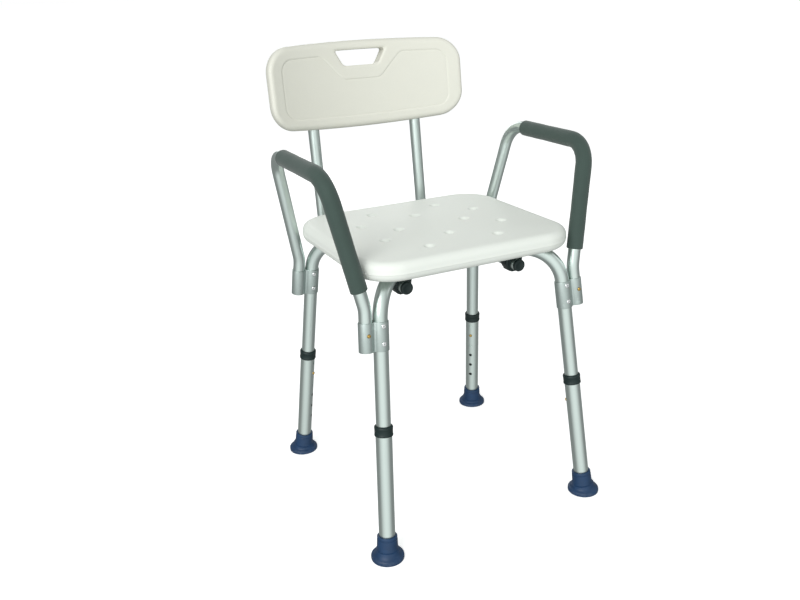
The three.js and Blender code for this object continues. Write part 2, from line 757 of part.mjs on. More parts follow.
// ---- Arms -------------------------------------------------------------------------------
const armTop = (corner) => new THREE.Vector3(
  corner.x * (CORNER_X + ARM_FLARE),
  corner.y * (CORNER_Y - ARM_TOP_INSET),
  SEAT_TOP + ARM_HEIGHT,
);

const armLowBend = (corner) => armAxis(corner, socketTop() + ARM_LOW_RISE);

function armTube(side) {
  const ends = CORNERS.filter((corner) => corner.x === side.x);
  const bottom = socketTop() - SOCKET_LENGTH + ARM_END_INSIDE;
  const feet = ends.map((corner) => armAxis(corner, bottom));
  const path = bentPath(
    [
      feet[0],
      armLowBend(ends[0]),
      armTop(ends[0]),
      armTop(ends[1]),
      armLowBend(ends[1]),
      feet[1],
    ],
    [ARM_LOW_BEND, ARM_BEND, ARM_BEND, ARM_LOW_BEND],
  );
  const holes = ends.map((corner) => (
    crossRod(HOLE_RADIUS, 0, ARM_TUBE).applyMatrix4(armButtonFrame(corner))
  ));
  const bent = tube(path, ARM_TUBE, ARM_TUBE - 2 * ARM_WALL);
  return piece(`arm_tube_${side.name}`, cutAway(bent, holes), ALUMINIUM);
}

// The foam covers the front post from above the low bend, the front bend and the top.
function armGrip(side) {
  const [front, rear] = CORNERS.filter((corner) => corner.x === side.x);
  const post = armTop(front).sub(armLowBend(front)).normalize();
  const start = armLowBend(front).addScaledVector(post, GRIP_ABOVE_LOW_BEND);
  const back = armTop(front).sub(armTop(rear)).normalize();
  const rearPost = armLowBend(rear).sub(armTop(rear)).normalize();
  const reach = ARM_BEND * Math.tan((Math.PI - back.angleTo(rearPost)) / 2);
  const end = armTop(rear).addScaledVector(back, reach + GRIP_BEHIND_BEND);
  const path = bentPath([start, armTop(front), end], [ARM_BEND]);
  const bore = ARM_TUBE + 2 * FIT;
  return piece(`arm_grip_${side.name}`, tube(path, bore + 2 * GRIP_WALL, bore), FOAM);
}

function armButton(corner) {
  return snapButton(
    `arm_button_${corner.name}`,
    armButtonFrame(corner),
    ARM_TUBE - 2 * ARM_WALL,
    ARM_BARREL / 2,
  );
}

// ---- Back -------------------------------------------------------------------------------
// A point on a post's axis at a given height.
function postPoint(side, height) {
  const y = POST_FOOT_Y + (height - BACK_TUBE_Z) * Math.tan(LEAN);
  return new THREE.Vector3(side.x * BACK_TUBE_X, y, height);
}

function postTop(side) {
  return postPoint(side, PANEL_MIDDLE_Z)
    .add(new THREE.Vector3(0, Math.sin(LEAN), Math.cos(LEAN))
      .multiplyScalar(POST_DEPTH - PANEL_HEIGHT / 2));
}

function backTube(side) {
  const frontEnd = SEAT_FRONT + BACK_FRONT_INSET + PLUG_FLANGE + FIT;
  const path = bentPath(
    [
      new THREE.Vector3(side.x * BACK_TUBE_X, frontEnd, BACK_TUBE_Z),
      postPoint(side, BACK_TUBE_Z),
      postTop(side),
    ],
    [BACK_BEND],
  );
  const bent = tube(path, BACK_TUBE, BACK_TUBE - 2 * BACK_WALL);
  return piece(`back_tube_${side.name}`, bent, ALUMINIUM);
}

function tubePlug(side) {
  const shank = BACK_TUBE / 2 - BACK_WALL - FIT;
  const profile = [
    [0, -PLUG_SHANK],
    [shank, -PLUG_SHANK],
    [shank, 0],
    [BACK_TUBE / 2, 0],
    [BACK_TUBE / 2, PLUG_FLANGE - PLUG_CHAMFER],
    [BACK_TUBE / 2 - PLUG_CHAMFER, PLUG_FLANGE],
    [0, PLUG_FLANGE],
  ];
  const mesh = piece(`tube_plug_${side.name}`, turned(profile), DARK_PLASTIC);
  const face = SEAT_FRONT + BACK_FRONT_INSET + PLUG_FLANGE;
  const origin = new THREE.Vector3(side.x * BACK_TUBE_X, face, BACK_TUBE_Z);
  mesh.applyMatrix4(placed(origin, forwards, vertical));
  return mesh;
}

// How far the curved panel has come forward of its middle, at a distance across it.
const fallAt = (x) => PANEL_RADIUS - Math.sqrt(PANEL_RADIUS ** 2 - x ** 2);

function curvedWall(thickness, height, edge) {
  const section = roundedOutline(height, thickness, edge);
  const sweep = Math.asin((PANEL_WIDTH / 2 + PANEL_THICKNESS / 2) / PANEL_RADIUS);
  const points = [];
  const tangents = [];
  const crown = fallAt(BACK_TUBE_X);
  for (let i = 0; i <= PANEL_STEPS; i += 1) {
    const angle = sweep * ((2 * i) / PANEL_STEPS - 1);
    const x = PANEL_RADIUS * Math.sin(angle);
    const y = crown - PANEL_RADIUS * (1 - Math.cos(angle));
    points.push(new THREE.Vector3(x, y, 0));
    tangents.push(new THREE.Vector3(Math.cos(angle), -Math.sin(angle), 0));
  }
  const path = new StationPath(points, tangents);
  const wall = new THREE.ExtrudeGeometry(section, {
    steps: PANEL_STEPS,
    extrudePath: path,
    curveSegments: 2,
  });
  return wall;
}

// A flat outline pushed through the panel from front to back.
function through(shape) {
  const depth = 4 * PANEL_SAG + 4 * PANEL_THICKNESS;
  return new THREE.ExtrudeGeometry(shape, { depth, bevelEnabled: false, curveSegments: 4 })
    .translate(0, 0, -depth / 2)
    .rotateX(Math.PI / 2);
}

function slotShape(grow) {
  const top = PANEL_HEIGHT / 2 - SLOT_BELOW_TOP + grow;
  const low = top - SLOT_HEIGHT - 2 * grow;
  const half = SLOT_TOP_WIDTH / 2 + grow;
  const halfLow = SLOT_BOTTOM_WIDTH / 2 + grow;
  const corner = SLOT_CORNER;
  const shape = new THREE.Shape();
  shape.moveTo(-halfLow + corner, low);
  shape.lineTo(halfLow - corner, low);
  shape.quadraticCurveTo(halfLow, low, halfLow + corner / 2, low + corner / 1.2);
  shape.lineTo(half - corner / 2, top - corner / 1.2);
  shape.quadraticCurveTo(half, top, half - corner, top);
  shape.lineTo(-half + corner, top);
  shape.quadraticCurveTo(-half, top, -half + corner / 2, top - corner / 1.2);
  shape.lineTo(-halfLow - corner / 2, low + corner / 1.2);
  shape.quadraticCurveTo(-halfLow, low, -halfLow + corner, low);
  return shape;
}

function panelBody(inset) {
  const wall = curvedWall(
    PANEL_THICKNESS - 2 * inset,
    PANEL_HEIGHT - 2 * inset,
    PANEL_EDGE - inset,
  );
  const outline = roundedOutline(
    PANEL_WIDTH - 2 * inset,
    PANEL_HEIGHT + 2 * PANEL_TRIM - 2 * inset,
    PANEL_CORNER - inset,
  );
  return solidOf(wall).intersect(solidOf(through(outline)));
}

// Sockets for the posts run up inside the panel, as ribs on its rear face.
function postSockets(radius, low, high) {
  return SIDES.map(({ x }) => (
    rod(radius, low, high, TUBE_SIDES).translate(x * BACK_TUBE_X, POST_BEHIND_PANEL, 0)
  ));
}

// Stretches the panel upwards and downwards, most in its middle and not at all at its ends.
function bowed(geometry) {
  const spots = geometry.getAttribute('position');
  const stretch = PANEL_BOW / (PANEL_HEIGHT / 2);
  for (let i = 0; i < spots.count; i += 1) {
    const share = 1 - (spots.getX(i) / (PANEL_WIDTH / 2)) ** 2;
    spots.setZ(i, spots.getZ(i) * (1 + stretch * share));
  }
  geometry.computeVertexNormals();
  return geometry;
}

function backPanelFrame() {
  const centre = postPoint({ x: 0 }, PANEL_MIDDLE_Z)
    .add(new THREE.Vector3(0, -POST_BEHIND_PANEL * Math.cos(LEAN),
      POST_BEHIND_PANEL * Math.sin(LEAN)));
  return placed(
    centre,
    new THREE.Vector3(0, Math.sin(LEAN), Math.cos(LEAN)),
    new THREE.Vector3(1, 0, 0),
  );
}

function backPanel() {
  const low = -PANEL_HEIGHT / 2;
  const top = low + POST_DEPTH;
  const ribRadius = BACK_TUBE / 2 + FIT + PANEL_WALL;
  let body = panelBody(0);
  for (const rib of postSockets(ribRadius, low + PANEL_TRIM, top + PANEL_WALL)) {
    body = body.add(solidOf(rib));
  }
  let cavity = panelBody(PANEL_WALL).subtract(solidOf(through(slotShape(PANEL_WALL))));
  for (const rib of postSockets(ribRadius, low - OVERRUN, top + PANEL_WALL)) {
    cavity = cavity.subtract(solidOf(rib));
  }
  const vent = rod(VENT_RADIUS, low - OVERRUN, low + 2 * PANEL_WALL)
    .translate(0, fallAt(BACK_TUBE_X), 0);
  const cuts = [
    through(slotShape(0)),
    ...postSockets(BACK_TUBE / 2 + FIT, low - OVERRUN, top + FIT),
    vent,
  ];
  body = body.subtract(cavity);
  for (const cut of cuts) {
    body = body.subtract(solidOf(cut));
  }
  const mesh = piece('back_panel', bowed(geometryOf(body)), WHITE_PLASTIC);
  mesh.applyMatrix4(backPanelFrame());
  return mesh;
}

// ---- Saddle brackets --------------------------------------------------------------------
function saddle({ name, diagonal, x, y }) {
  const top = SEAT_UNDERSIDE - FIT;
  const ear = top - SADDLE_EAR;
  const low = BACK_TUBE_Z - BACK_TUBE / 2 - FIT - SADDLE_FLOOR;
  const section = new THREE.Shape([
    new THREE.Vector2(-SADDLE_FOOT_HALF_WIDTH, low),
    new THREE.Vector2(SADDLE_FOOT_HALF_WIDTH, low),
    new THREE.Vector2(SADDLE_HALF_WIDTH - SADDLE_TAPER, BACK_TUBE_Z),
    new THREE.Vector2(SADDLE_HALF_WIDTH, ear),
    new THREE.Vector2(SADDLE_HALF_WIDTH, top),
    new THREE.Vector2(-SADDLE_HALF_WIDTH, top),
    new THREE.Vector2(-SADDLE_HALF_WIDTH, ear),
    new THREE.Vector2(-SADDLE_HALF_WIDTH + SADDLE_TAPER, BACK_TUBE_Z),
  ]);
  const blank = new THREE.ExtrudeGeometry(section, {
    depth: SADDLE_LENGTH,
    bevelEnabled: false,
  });
  blank.translate(0, 0, -SADDLE_LENGTH / 2).rotateX(Math.PI / 2);
  const along = new THREE.Vector3(CORNER_X, diagonal * CORNER_Y, 0);
  const cradleFrame = placed(new THREE.Vector3(0, 0, CROSS_Z), along, vertical);
  const backFrame = placed(new THREE.Vector3(0, 0, BACK_TUBE_Z), forwards, vertical);
  const cradle = rod(FRAME_TUBE / 2 + FIT, -SEAT_WIDTH / 4, SEAT_WIDTH / 4, TUBE_SIDES);
  const bore = rod(BACK_TUBE / 2 + FIT, -SADDLE_LENGTH, SADDLE_LENGTH, TUBE_SIDES);
  const cuts = [cradle.applyMatrix4(cradleFrame), bore.applyMatrix4(backFrame)];
  for (const end of [-1, 1]) {
    const shank = rod(SCREW_SHANK + FIT, low - OVERRUN, top + OVERRUN);
    const headRoom = rod(SCREW_HEAD + FIT, low - OVERRUN, ear);
    for (const cut of [shank, headRoom]) {
      cuts.push(cut.translate(end * SCREW_ACROSS, -end * diagonal * SCREW_ALONG, 0));
    }
  }
  const mesh = piece(`saddle_${name}`, cutAway(blank, cuts), DARK_PLASTIC);
  mesh.position.set(x, y, 0);
  return mesh;
}

function saddleScrew({ name, x, y }) {
  const head = SEAT_UNDERSIDE - FIT - SADDLE_EAR - FIT;
  const profile = [
    [0, head - SCREW_HEAD_HEIGHT],
    [SCREW_HEAD - SCREW_HEAD_ROUND, head - SCREW_HEAD_HEIGHT],
    [SCREW_HEAD, head - SCREW_HEAD_HEIGHT / 2],
    [SCREW_HEAD, head],
    [SCREW_SHANK, head],
    [SCREW_SHANK, SEAT_UNDERSIDE + SCREW_IN_SEAT - SCREW_POINT],
    [0, SEAT_UNDERSIDE + SCREW_IN_SEAT - FIT],
  ];
  const mesh = piece(`saddle_screw_${name}`, turned(profile, SMALL_SIDES), STEEL);
  mesh.position.set(x, y, 0);
  return mesh;
}

// ---- Assembly ---------------------------------------------------------------------------
function assemble() {
  const [frontLeft, frontRight, rearLeft, rearRight] = CORNERS;
  const chair = new THREE.Group();
  chair.add(seat());
  chair.add(frameTube('frame_tube_upper', frontLeft, rearRight, false));
  chair.add(frameTube('frame_tube_dipped', frontRight, rearLeft, true));
  chair.add(crossRivet());
  for (const corner of CORNERS) {
    chair.add(socket(corner), ...socketRivets(corner));
    chair.add(lowerTube(corner), collar(corner), foot(corner));
    chair.add(legButton(corner), armButton(corner));
  }
  for (const side of SIDES) {
    chair.add(armTube(side), armGrip(side), backTube(side), tubePlug(side));
  }
  chair.add(backPanel());
  saddleCentres().forEach((place) => chair.add(saddle(place)));
  screwPlaces().forEach((place) => chair.add(saddleScrew(place)));
  return chair;
}

// The origin is on the floor, in the middle of the chair's outer box.
function centredOnFloor(chair) {
  chair.updateMatrixWorld(true);
  const box = new THREE.Box3().setFromObject(chair, true);
  const centre = box.getCenter(new THREE.Vector3());
  chair.position.set(-centre.x, -centre.y, -box.min.z);
  return chair;
}

export default centredOnFloor(assemble());
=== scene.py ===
"""Looks of a height-adjustable shower chair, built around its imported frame.

Metres, +Z up, -Y towards the front. Left and right are as seen from the front.
"""

import json
import math

import bmesh
import bpy
import numpy as np
from mathutils import Matrix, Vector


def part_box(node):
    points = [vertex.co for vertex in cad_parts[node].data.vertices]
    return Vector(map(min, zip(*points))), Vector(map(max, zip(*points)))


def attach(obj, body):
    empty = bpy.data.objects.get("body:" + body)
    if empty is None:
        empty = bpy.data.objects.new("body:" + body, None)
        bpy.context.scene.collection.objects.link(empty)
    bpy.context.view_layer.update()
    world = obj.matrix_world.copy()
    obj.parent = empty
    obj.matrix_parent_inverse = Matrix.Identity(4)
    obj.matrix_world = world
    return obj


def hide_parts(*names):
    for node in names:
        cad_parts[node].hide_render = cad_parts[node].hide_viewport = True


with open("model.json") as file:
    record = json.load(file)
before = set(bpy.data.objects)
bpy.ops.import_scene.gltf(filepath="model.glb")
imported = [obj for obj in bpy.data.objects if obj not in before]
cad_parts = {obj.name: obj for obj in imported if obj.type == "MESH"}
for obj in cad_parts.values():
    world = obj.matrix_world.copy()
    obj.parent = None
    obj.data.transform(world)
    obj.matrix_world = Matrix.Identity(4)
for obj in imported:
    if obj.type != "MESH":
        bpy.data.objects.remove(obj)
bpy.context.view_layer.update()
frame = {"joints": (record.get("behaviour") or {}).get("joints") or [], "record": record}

bl_info = {
    "name": "Shower chair",
    "version": (1, 0, 0),
    "blender": (4, 5, 0),
    "location": "View3D > Sidebar > Shower chair",
    "description": "Builds a shower chair with a moulded seat, foam arms and adjustable legs",
    "category": "Object",
}

CORNERS = {
    "front_left": (-1, -1),
    "front_right": (1, -1),
    "rear_left": (-1, 1),
    "rear_right": (1, 1),
}
SIDES = {"left": -1, "right": 1}
GAP = 0.0003  # clearance between pieces that touch
TUBE_SIDES = 64
SMALL_SIDES = 40
SHARP_ANGLE = math.radians(38)
CUT_PAST = 0.01  # how far a cutter runs out of what it cuts
HOLES_PER_LEG = 6
X_AXIS, Y_AXIS, Z_AXIS = np.eye(3)
FORWARDS = -Y_AXIS


# ---- Sizes and colours ------------------------------------------------------------------
def length(name, default, description):
    """A size in metres that shows in the panel."""
    return bpy.props.FloatProperty(
        name=name,
        default=default,
        description=description,
        unit="LENGTH",
        subtype="DISTANCE",
        precision=4,
        min=0.0,
    )


def amount(name, default, description, low=0.0, high=10.0):
    """A plain number that shows in the panel."""
    return bpy.props.FloatProperty(
        name=name, default=default, description=description, min=low, max=high
    )


def colour(name, default, description):
    """A colour that shows in the panel."""
    return bpy.props.FloatVectorProperty(
        name=name,
        default=default,
        description=description,
        subtype="COLOR",
        size=3,
        min=0.0,
        max=1.0,
    )


def spot(name, default, description):
    """A place in the scene that shows in the panel."""
    return bpy.props.FloatVectorProperty(
        name=name,
        default=default,
        description=description,
        unit="LENGTH",
        subtype="TRANSLATION",
        size=3,
    )


class ChairTubes(bpy.types.PropertyGroup):
    """Sizes of the bent tubes and of where they run."""

    frame: length("Frame tube", 0.025, "Outside diameter of the crossing frame tubes")
    lower: length("Lower leg tube", 0.028, "Outside diameter of the lower leg tubes")
    arm: length("Arm tube", 0.022, "Outside diameter of the arm tubes")
    back: length("Back tube", 0.022, "Outside diameter of the back tubes")
    wall: length("Wall", 0.0012, "Wall thickness of every tube")
    lip: length("Lip", 0.0003, "Rounding of the cut tube ends")
    frame_bend: length("Frame bend", 0.065, "Radius of the bend above each leg")
    groove: length("Seat groove", 0.006, "How far the frame tubes sink into the seat")
    dip_bend: length("Dip bend", 0.040, "Bend radius of the tube that passes below the other")
    dip_flat: length("Dip flat", 0.030, "Half length of the lowered stretch at the crossing")
    dip_ramp: length("Dip ramp", 0.052, "Length of each ramp down to the lowered stretch")
    lower_start: length("Lower tube start", 0.008, "Distance from the floor along the leg")
    lower_end: length("Lower tube end", 0.238, "Distance from the floor along the leg")
    inner_end: length("Inner tube end", 0.1489, "Where the frame tube ends inside the lower tube")
    hole: length("Hole", 0.0066, "Diameter of the height and button holes")
    hole_pitch: length("Hole pitch", 0.0254, "Distance between two height holes")
    first_hole: length("First hole", 0.2137, "Top height hole, along the leg from the floor")
    arm_flare: length("Arm flare", 0.0708, "How far the arm's top stands outside the frame corner")
    arm_inset: length("Arm inset", 0.028, "Bend corners of the arm, in from the frame corners")
    arm_height: length("Arm height", 0.1365, "Arm centre line above the seat")
    arm_bend: length("Arm bend", 0.047, "Radius of the two upper bends of an arm")
    arm_low_bend: length("Arm low bend", 0.060, "Radius of the bends just above the sockets")
    arm_low_rise: length("Arm low rise", 0.021, "From the socket's top to the low bend")
    arm_inside: length("Arm end", 0.002, "From the arm tube's end to the socket's bottom")
    back_front: length("Back tube front", 0.0595, "Tube end behind the seat's front edge")
    back_bend: length("Back bend", 0.050, "Radius of the bend behind the seat")
    back_spread: length("Back spread", 0.223, "Distance between the two back tubes")
    back_setback: length("Back setback", 0.072, "Foot of the posts behind the seat")
    back_lean: amount("Back lean", 6.8, "Lean of the back from upright, in degrees", high=45)


class ChairSeat(bpy.types.PropertyGroup):
    """Sizes of the moulded seat."""

    corner: length("Corner", 0.068, "Radius of the seat's corners seen from above")
    edge: length("Edge", 0.014, "Rounding of the seat's upper edge")
    dimple: length("Dimple", 0.0105, "Radius of a drain dimple")
    dimple_depth: length("Dimple depth", 0.0065, "Depth of a drain dimple")
    drain: length("Drain", 0.0032, "Radius of the drain hole in a dimple")
    seam: length("Parting line", 0.0004, "How far the parting line stands out")
    recess: length("Underside recess", 0.002, "Depth of the panel under the seat")


class ChairPanel(bpy.types.PropertyGroup):
    """Sizes of the curved back panel."""

    width: length("Width", 0.408, "Width seen from the front")
    height: length("Height", 0.148, "Height along the lean")
    thickness: length("Thickness", 0.028, "From front to rear face")
    sag: length("Sag", 0.043, "How far the ends come forward of the middle")
    corner: length("Corner", 0.045, "Radius of the panel's corners")
    bow: length("Bow", 0.009, "How far the upper and lower edges bow out in the middle")
    edge: length("Edge", 0.010, "Rounding of the panel's edges")
    gap: length("Gap", 0.1475, "Lower corners above the seat")
    posts: length("Posts", 0.006, "Post axis behind the middle of the wall")
    post_depth: length("Post depth", 0.112, "How far the posts reach up inside the panel")
    slot_top: length("Slot top", 0.109, "Width of the handle slot at its top")
    slot_bottom: length("Slot bottom", 0.074, "Width of the handle slot at its bottom")
    slot_height: length("Slot height", 0.027, "Height of the handle slot before the bow")
    slot_below: length("Slot below top", 0.0155, "From the top edge to the slot, before the bow")
    slot_rim: length("Slot rim", 0.005, "Width of the rounding around the slot")
    inset_side: length("Inset side", 0.029, "From the panel's ends to the inset line")
    inset_top: length("Inset top", 0.0235, "From the panel's top to the inset line")
    inset_bottom: length("Inset bottom", 0.0205, "From the panel's bottom to the inset line")
    inset_depth: length("Inset depth", 0.0009, "How far the inset field lies back")
    notch_bottom: length("Notch bottom", 0.008, "Bottom of the inset's notch above the middle")
    notch_half: length("Notch half width", 0.040, "Half width of the notch at its bottom")


class ChairFittings(bpy.types.PropertyGroup):
    """Sizes of the sockets, collars, feet, grips, saddles and small metal parts."""

    socket: length("Socket", 0.049, "Length of a double socket")
    socket_wall: length("Socket wall", 0.0012, "Wall thickness of a socket")
    socket_fillet: length("Socket fillet", 0.003, "Fillet between the two barrels")
    socket_lap: length("Socket lap", 0.0006, "How far the two barrels run into each other")
    socket_drop: length("Socket drop", 0.0006, "From the start of the frame bend to the socket")
    rivet_inset: length("Rivet inset", 0.007, "Upper rivet below the top of the socket")
    rivet_spacing: length("Rivet spacing", 0.0295, "Distance between the two rivets")
    button_below: length("Arm button", 0.020, "Arm button below the top of the socket")
    grip_wall: length("Grip wall", 0.003, "Thickness of the foam")
    grip_above: length("Grip start", 0.031, "Foam's lower end above the arm's low bend")
    grip_behind: length("Grip end", 0.008, "Plain tube between the rear bend and the foam")
    collar_wall: length("Collar wall", 0.0016, "Thickness of a leg collar")
    collar_skirt: length("Collar skirt", 0.0155, "Length of the collar below the tube's end")
    foot: length("Foot", 0.0287, "Radius of a rubber foot at the floor")
    saddle_length: length("Saddle length", 0.032, "Length of a saddle along the back tube")
    saddle_half: length("Saddle half width", 0.0205, "Half width of a saddle at its top")
    saddle_web: length("Saddle web", 0.0016, "Wall between the frame tube and the back tube")
    saddle_ear: length("Saddle ear", 0.008, "Thickness of the ears that the screws hold")
    screw_across: length("Screw across", 0.016, "Saddle screw beside the back tube")
    screw_along: length("Screw along", 0.011, "Saddle screw from the saddle's middle")


class ChairColours(bpy.types.PropertyGroup):
    """Base colours of the finishes, in linear light."""

    tube: colour("Tube", (0.62, 0.70, 0.67), "Satin anodised aluminium of the tubes")
    socket: colour("Socket", (0.50, 0.57, 0.55), "Blasted aluminium of the sockets")
    rivet: colour("Rivet", (0.80, 0.81, 0.82), "Bright blind rivets")
    brass: colour("Button", (0.62, 0.40, 0.12), "Brass of the snap buttons")
    steel: colour("Screw", (0.50, 0.51, 0.52), "Zinc-plated screws")
    seat: colour("Seat", (0.80, 0.83, 0.78), "White moulded seat")
    back: colour("Back", (0.71, 0.705, 0.63), "Warm white moulded back")
    trim: colour("Trim", (0.003, 0.016, 0.0155), "Near-black moulded trim")
    foam: colour("Foam", (0.040, 0.066, 0.056), "Dark green-grey foam of the grips")
    rubber: colour("Rubber", (0.007, 0.039, 0.107), "Navy rubber of the feet")
    floor: colour("Floor", (0.90, 0.90, 0.90), "Plain pale floor")


class ChairStage(bpy.types.PropertyGroup):
    """Places of the camera and the lights, and how bright they are."""

    camera: spot("Camera", (-0.6947, -1.3291, 0.9284), "Where the camera stands")
    azimuth: amount("Azimuth", -25.894, "Camera's turn from the front, in degrees", -180, 180)
    elevation: amount("Elevation", 21.047, "Camera's height in degrees", -90, 90)
    roll: amount("Roll", -1.956, "Camera's tilt about its own axis, in degrees", -180, 180)
    lens: amount("Lens", 37.82, "Focal length for a 36 mm sensor", 1, 300)
    key: amount("Key light", 42.0, "Power of the large light at the left", 0, 500)
    key_spot: spot("Key light's place", (-2.15, -1.5, 1.95), "Where the key light hangs")
    fill: amount("Fill light", 5.0, "Power of the large light at the right", 0, 500)
    fill_spot: spot("Fill light's place", (2.4, -1.2, 1.6), "Where the fill light hangs")
    rear: amount("Rear light", 14.0, "Power of the light behind the chair", 0, 500)
    rear_spot: spot("Rear light's place", (0.9, 2.9, 1.5), "Where the rear light hangs")
    room: amount("Room", 0.32, "Brightness all round", 0, 10)
    front: amount("Front", 0.85, "Extra brightness on the camera's side", 0, 10)
    above: amount("Above", 0.25, "Extra brightness overhead", 0, 10)
    glow: amount("Floor glow", 0.48, "How much the floor is lit from within", 0, 10)


def tubes():
    """Sizes of the tubes."""
    return bpy.context.scene.chair_tubes


def fittings():
    """Sizes of the sockets and small parts."""
    return bpy.context.scene.chair_fittings


# ---- Where things are -------------------------------------------------------------------
SEAT_LOW, SEAT_HIGH = (np.array(corner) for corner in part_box("seat"))
SEAT_MIDDLE = (SEAT_LOW + SEAT_HIGH) / 2
SEAT_HALF = (SEAT_HIGH - SEAT_LOW) / 2
SOLES = {
    mount["name"].replace("sole_", ""): np.array(mount["pos_m"], float)
    for mount in frame["record"]["mounts"]
    if mount["name"].startswith("sole_")
}
LEG_UP = {
    name: -np.array(joint["axis"], float) / np.linalg.norm(joint["axis"])
    for name in CORNERS
    for joint in frame["joints"]
    if joint["name"] == f"leg_{name}_height"
}


def cross_height():
    """Height of the frame tubes' axes under the seat."""
    return SEAT_LOW[2] + tubes().groove - GAP - tubes().frame / 2


def back_height():
    """Height of the back tubes' axes under the seat."""
    web = fittings().saddle_web
    return cross_height() - tubes().frame / 2 - 2 * GAP - web - tubes().back / 2


def along_leg(name, distance):
    """A point on a leg's axis, a distance up from the floor along the leg."""
    return SOLES[name] + LEG_UP[name] * distance


def leg_top(name):
    """Where a leg's line meets the level of the crossing tubes."""
    return along_leg(name, cross_height() / LEG_UP[name][2])


def socket_top(name):
    """Distance along the leg to the top of its double socket, just below the bend."""
    lean = math.asin(LEG_UP[name][2])
    reach = tubes().frame_bend * math.tan(lean / 2)
    return cross_height() / LEG_UP[name][2] - reach - fittings().socket_drop


def unit(vectors):
    """Vectors over their own lengths."""
    vectors = np.asarray(vectors, float)
    return vectors / np.linalg.norm(vectors, axis=-1, keepdims=True)


def squared(direction, axis):
    """The part of a direction that is square to an axis, as a unit vector."""
    return unit(direction - np.dot(direction, axis) * axis)


def barrel_radii():
    """Outside radii of a socket's leg barrel and arm barrel."""
    room = GAP + fittings().socket_wall
    return tubes().frame / 2 + room, tubes().arm / 2 + room


def arm_axis(name, distance):
    """A point on the axis of an arm barrel, beside a point on the leg."""
    outwards = squared(CORNERS[name][0] * X_AXIS, LEG_UP[name])
    return along_leg(name, distance) + outwards * (sum(barrel_radii()) - fittings().socket_lap)


def leg_inwards(name):
    """The way that the height holes and leg buttons face, towards the chair's middle."""
    x, y = CORNERS[name]
    return squared(np.array([-x, -y, 0.0]), LEG_UP[name])


def arm_button(name):
    """Where an arm's button sits on the barrel's axis, and the way it faces."""
    centre = arm_axis(name, socket_top(name) - fittings().button_below)
    return centre, squared(CORNERS[name][1] * Y_AXIS, LEG_UP[name])


def crossing():
    """Where the two frame tubes cross, at the level of the upper one's axis."""
    return (leg_top("front_left") + leg_top("rear_right")) / 2


def panel_height(panel):
    """Height of the panel's middle."""
    return SEAT_HIGH[2] + panel.gap + panel.height / 2


def arm_corners(side):
    """The low and top bend corners of an arm, front then rear."""
    low, top = [], []
    for name in (f"front_{side}", f"rear_{side}"):
        x, y = CORNERS[name]
        corner = leg_top(name)
        low.append(arm_axis(name, socket_top(name) + tubes().arm_low_rise))
        top.append(
            np.array([
                corner[0] + x * tubes().arm_flare,
                corner[1] - y * tubes().arm_inset,
                SEAT_HIGH[2] + tubes().arm_height,
            ])
        )
    return low, top


def back_frame():
    """Middle of the panel's wall, and its rearward and upward directions."""
    panel = bpy.context.scene.chair_panel
    lean = math.radians(tubes().back_lean)
    upward = np.array([0, math.sin(lean), math.cos(lean)])
    rearward = np.array([0, math.cos(lean), -math.sin(lean)])
    middle = post_point(0, panel_height(panel)) - panel.posts * rearward
    return middle, rearward, upward


def post_point(side, height):
    """A point on a post's axis at a given height."""
    foot = SEAT_HIGH[1] + tubes().back_setback
    rise = height - back_height()
    lean = math.radians(tubes().back_lean)
    return np.array([side * tubes().back_spread / 2, foot + rise * math.tan(lean), height])


# ---- Surfaces ---------------------------------------------------------------------------
def running(points):
    """Distance along a run of points, from 0 at the first."""
    steps = np.linalg.norm(np.diff(points, axis=0), axis=-1)
    return np.concatenate([[0.0], np.cumsum(steps)])


def spread(start, end, shares):
    """Outlines between two others: start + share * (end - start), for each share."""
    return start + shares[:, None, None] * (end - start)


def quarter_turn(radius, steps):
    """A quarter circle as r (1 - sin a) and r (1 - cos a), for a from 0 to 90 degrees."""
    angle = np.linspace(0, math.pi / 2, steps)
    return radius * (1 - np.sin(angle)), radius * (1 - np.cos(angle))


def linked(name, data):
    """An object of the data, in the scene."""
    item = bpy.data.objects.new(name, data)
    bpy.context.scene.collection.objects.link(item)
    return item


def surface(name, points):
    """A mesh from a grid of points [rows, columns, 3].

    Row i and column j make the point P(i, j). Coincident rows, columns and poles are
    merged, ends that stay open are closed flat, and the faces are made to point outwards.
    The UV map holds the share of the way across the columns, and metres along the rows.
    """
    rows, columns = points.shape[:2]
    index = np.arange(rows * columns).reshape(rows, columns)
    corners = (index[:-1, :-1], index[:-1, 1:], index[1:, 1:], index[1:, :-1])
    quads = np.stack(corners, axis=-1).reshape(-1, 4)
    mesh = bpy.data.meshes.new(name)
    mesh.from_pydata(points.reshape(-1, 3), [], quads)
    step = np.linalg.norm(np.diff(points, axis=0), axis=-1).mean(axis=1)
    run = np.concatenate([[0.0], np.cumsum(step)])
    across = np.broadcast_to(np.linspace(0, 1, columns), (rows, columns))
    uv = np.stack([across, np.broadcast_to(run[:, None], (rows, columns))], axis=-1)
    vertex = np.empty(len(mesh.loops), dtype=np.int32)
    mesh.loops.foreach_get("vertex_index", vertex)
    layer = mesh.uv_layers.new(name="UVMap")
    layer.data.foreach_set("uv", uv.reshape(-1, 2)[vertex].ravel())
    closed(mesh)
    return mesh


def closed(mesh):
    """Merges doubles, fills open ends and turns the faces outwards."""
    work = bmesh.new()
    work.from_mesh(mesh)
    bmesh.ops.remove_doubles(work, verts=work.verts, dist=1e-7)
    open_edges = [edge for edge in work.edges if edge.is_boundary]
    if open_edges:
        bmesh.ops.holes_fill(work, edges=open_edges, sides=0)
    if work.calc_volume(signed=True) < 0:
        bmesh.ops.reverse_faces(work, faces=work.faces)
    work.to_mesh(mesh)
    work.free()


